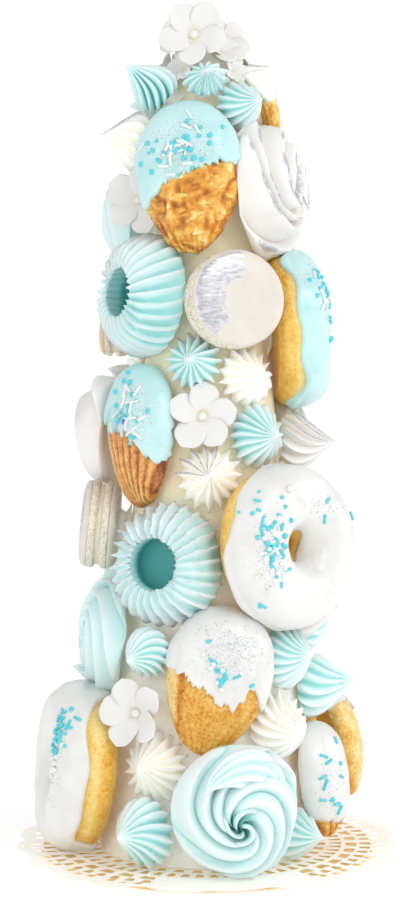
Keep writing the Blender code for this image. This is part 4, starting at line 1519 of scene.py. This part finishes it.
def small_sweets():
    """Small flowers round the crown, and small kisses and flowers in the widest gaps between the
    sweets of the back, each the size of its gap."""
    chance = np.random.default_rng(77)
    shapes = {kind: Shape() for kind in SMALL_KINDS}
    spots = list(itertools.product(*BACK_SPOTS))
    grounds = np.array([way_to(bearing, 0) * cone_radius(height) + Vector((0, 0, height))
                        for height, bearing in spots])
    lean = math.atan((CONE_BASE - DOME) / (SHOULDER - CONE_LOW.z))
    free = np.full(len(grounds), FAR)
    for centre, axes, half_width, half_length in TAKEN:
        x, y, z = ((grounds - centre) @ axes.T).T
        gap = (np.hypot(x / half_width, y / half_length) - 1) * (half_width + half_length) / 2
        free = np.minimum(free, np.where(np.abs(z) < 30, gap, FAR))
    for i in range(SMALL_COUNT):
        best = int(np.argmax(free))
        room = free[best] + OVERLAP
        if room < SMALLEST:
            break
        reach = min(room, chance.uniform(*SMALL_REACH))
        kind = list(SMALL_KINDS)[int(chance.choice(4, p=SHARES))]
        seed = 500 + i
        if kind == "small_flowers":
            small = sugar_flower(2 * reach, SMALL_DEPTH, seed, chance.uniform(0, TURN))
        else:
            small = star_kiss(2 * reach, reach * chance.uniform(0.85, 1.15), seed,
                              int(chance.integers(11, 15)), chance.uniform(8, 40),
                              chance.uniform(0.2, 0.3), rows=13)
        shapes[kind].join(small, sitting_on(way_to(spots[best][1], lean)), grounds[best])
        free = np.minimum(free, np.linalg.norm(grounds - grounds[best], axis=1) - reach)
    for i, (bearing, rise, reach) in enumerate(CROWN_FLOWERS):
        normal = way_to(bearing, math.radians(rise))
        small = sugar_flower(2 * reach, SMALL_DEPTH, 600 + i, i * 0.5)
        spot = Vector((0, 0, SHOULDER)) + normal * (DOME - 0.5)
        shapes["small_flowers"].join(small, sitting_on(normal), spot)
    for kind, shape in shapes.items():
        piece(kind, shape, *SMALL_KINDS[kind])


LEAST_GAP = 0.8  # between a sweet and the cone that needs a dab
WIDEST_DAB = 20
# How wide a dab is on its way from the sweet to the cone, and how far along.
DAB_PROFILE = np.array(((0.2, 1.05, 0.9, 0.8, 0.95, 1.3), (0, 0, 0.3, 0.6, 0.85, 1.12)))


def icing_dabs():
    """The icing that holds each sweet that stands off the cone."""
    cone = frame["nodes"]["cone"].data
    surface = BVHTree.FromPolygons([v.co / MM for v in cone.vertices],
                                   [face.vertices for face in cone.polygons])
    dabs = Shape()
    for centre, axes, half_width, half_length in TAKEN:
        foot, *_ = surface.find_nearest(Vector(centre))
        if (foot - Vector(centre)).length < LEAST_GAP:
            continue
        reach = min(half_width, half_length, WIDEST_DAB) * 0.5
        sizes = DAB_PROFILE[0][:, None] * reach
        shares = DAB_PROFILE[1][:, None, None]
        disc = round_points(sizes, once_round(20), 0.3) @ axes
        column = np.array(centre) + shares * np.array(foot - Vector(centre)) + disc
        column += noise(column, 6, 3)[..., None] * 0.7 * (shares > 0)
        dabs.grid(column, 0.5, 0, 0.75, flip=True)
    piece("icing_dabs", dabs, ICING, "icing")


# ---------------------------------------------------------------- the studio

AMBIENT = 0.82
BACKDROP = 1.05  # how bright it is to the camera, against AMBIENT for the light it gives
# The name, the place, the size and the power of each lamp, and where they all point.
LAMPS = (("key", (0.85, -1.15, 1.15), 0.55, 5.5), ("side", (1.3, 0.1, 0.5), 0.6, 2.5),
         ("fill", (-0.9, -1.2, 0.25), 0.9, 2.5))
LIT_MIDDLE = Vector((0, 0, 0.22))
FLOOR_REACH = 6.0
CAMERA_AT, CAMERA_DOWN, LENS = (0.0005, -1.0, 0.26), math.radians(2.8), 76


def studio():
    scene = bpy.context.scene
    scene.view_settings.view_transform = "Standard"
    world = bpy.data.worlds.new("studio")
    world.use_nodes = True
    tree = world.node_tree
    backdrop = tree.nodes["Background"]
    backdrop.inputs["Color"].default_value = (1, 1, 1, 1)
    seen = tree.nodes.new("ShaderNodeLightPath").outputs["Is Camera Ray"]
    strength = tree.nodes.new("ShaderNodeMapRange")
    strength.inputs["To Min"].default_value = AMBIENT
    strength.inputs["To Max"].default_value = BACKDROP
    tree.links.new(seen, strength.inputs["Value"])
    tree.links.new(strength.outputs["Result"], backdrop.inputs["Strength"])
    scene.world = world

    floor_mesh = bpy.data.meshes.new("floor")
    corners = [(x * FLOOR_REACH, y * FLOOR_REACH, 0) for x, y in ((-1, -1), (1, -1), (1, 1), (-1, 1))]
    floor_mesh.from_pydata(corners, [], [(0, 1, 2, 3)])
    floor = bpy.data.objects.new("floor", floor_mesh)
    recipe = Recipe("floor", {"Base Color": (0.92, 0.92, 0.92), "Roughness": 0.9,
                              "Specular IOR Level": 0.0, "Emission Color": (1, 1, 1),
                              "Emission Strength": 0.25})
    floor_mesh.materials.append(recipe.material)
    scene.collection.objects.link(floor)

    for name, spot, size, power in LAMPS:
        light = bpy.data.lights.new(name, "AREA")
        light.size = size
        light.energy = power
        lamp = bpy.data.objects.new(name, light)
        scene.collection.objects.link(lamp)
        lamp.location = spot
        lamp.rotation_euler = (LIT_MIDDLE - lamp.location).to_track_quat("-Z", "Y").to_euler()

    camera = bpy.data.cameras.new("camera")
    camera.lens = LENS
    viewer = bpy.data.objects.new("camera", camera)
    viewer.location = CAMERA_AT
    viewer.rotation_euler = (math.pi / 2 - CAMERA_DOWN, 0, 0)
    scene.collection.objects.link(viewer)
    scene.camera = viewer


# ---------------------------------------------------------------- the tower

MAKERS = {**dict.fromkeys(PIPED, make_meringue), "madeleine": make_madeleine,
          "doughnut": make_doughnut, "macaron": make_macaron, "flower": make_flower}

studio()
iced_cone()
cake_board()
doily()
for node in frame["nodes"]:
    maker = MAKERS.get(node.split("_")[0])
    if maker:
        maker(node)
icing_dabs()
small_sweets()
for kind, shape in SCATTERED.items():
    if shape.count:
        piece(kind, shape, *TOPPINGS[kind])
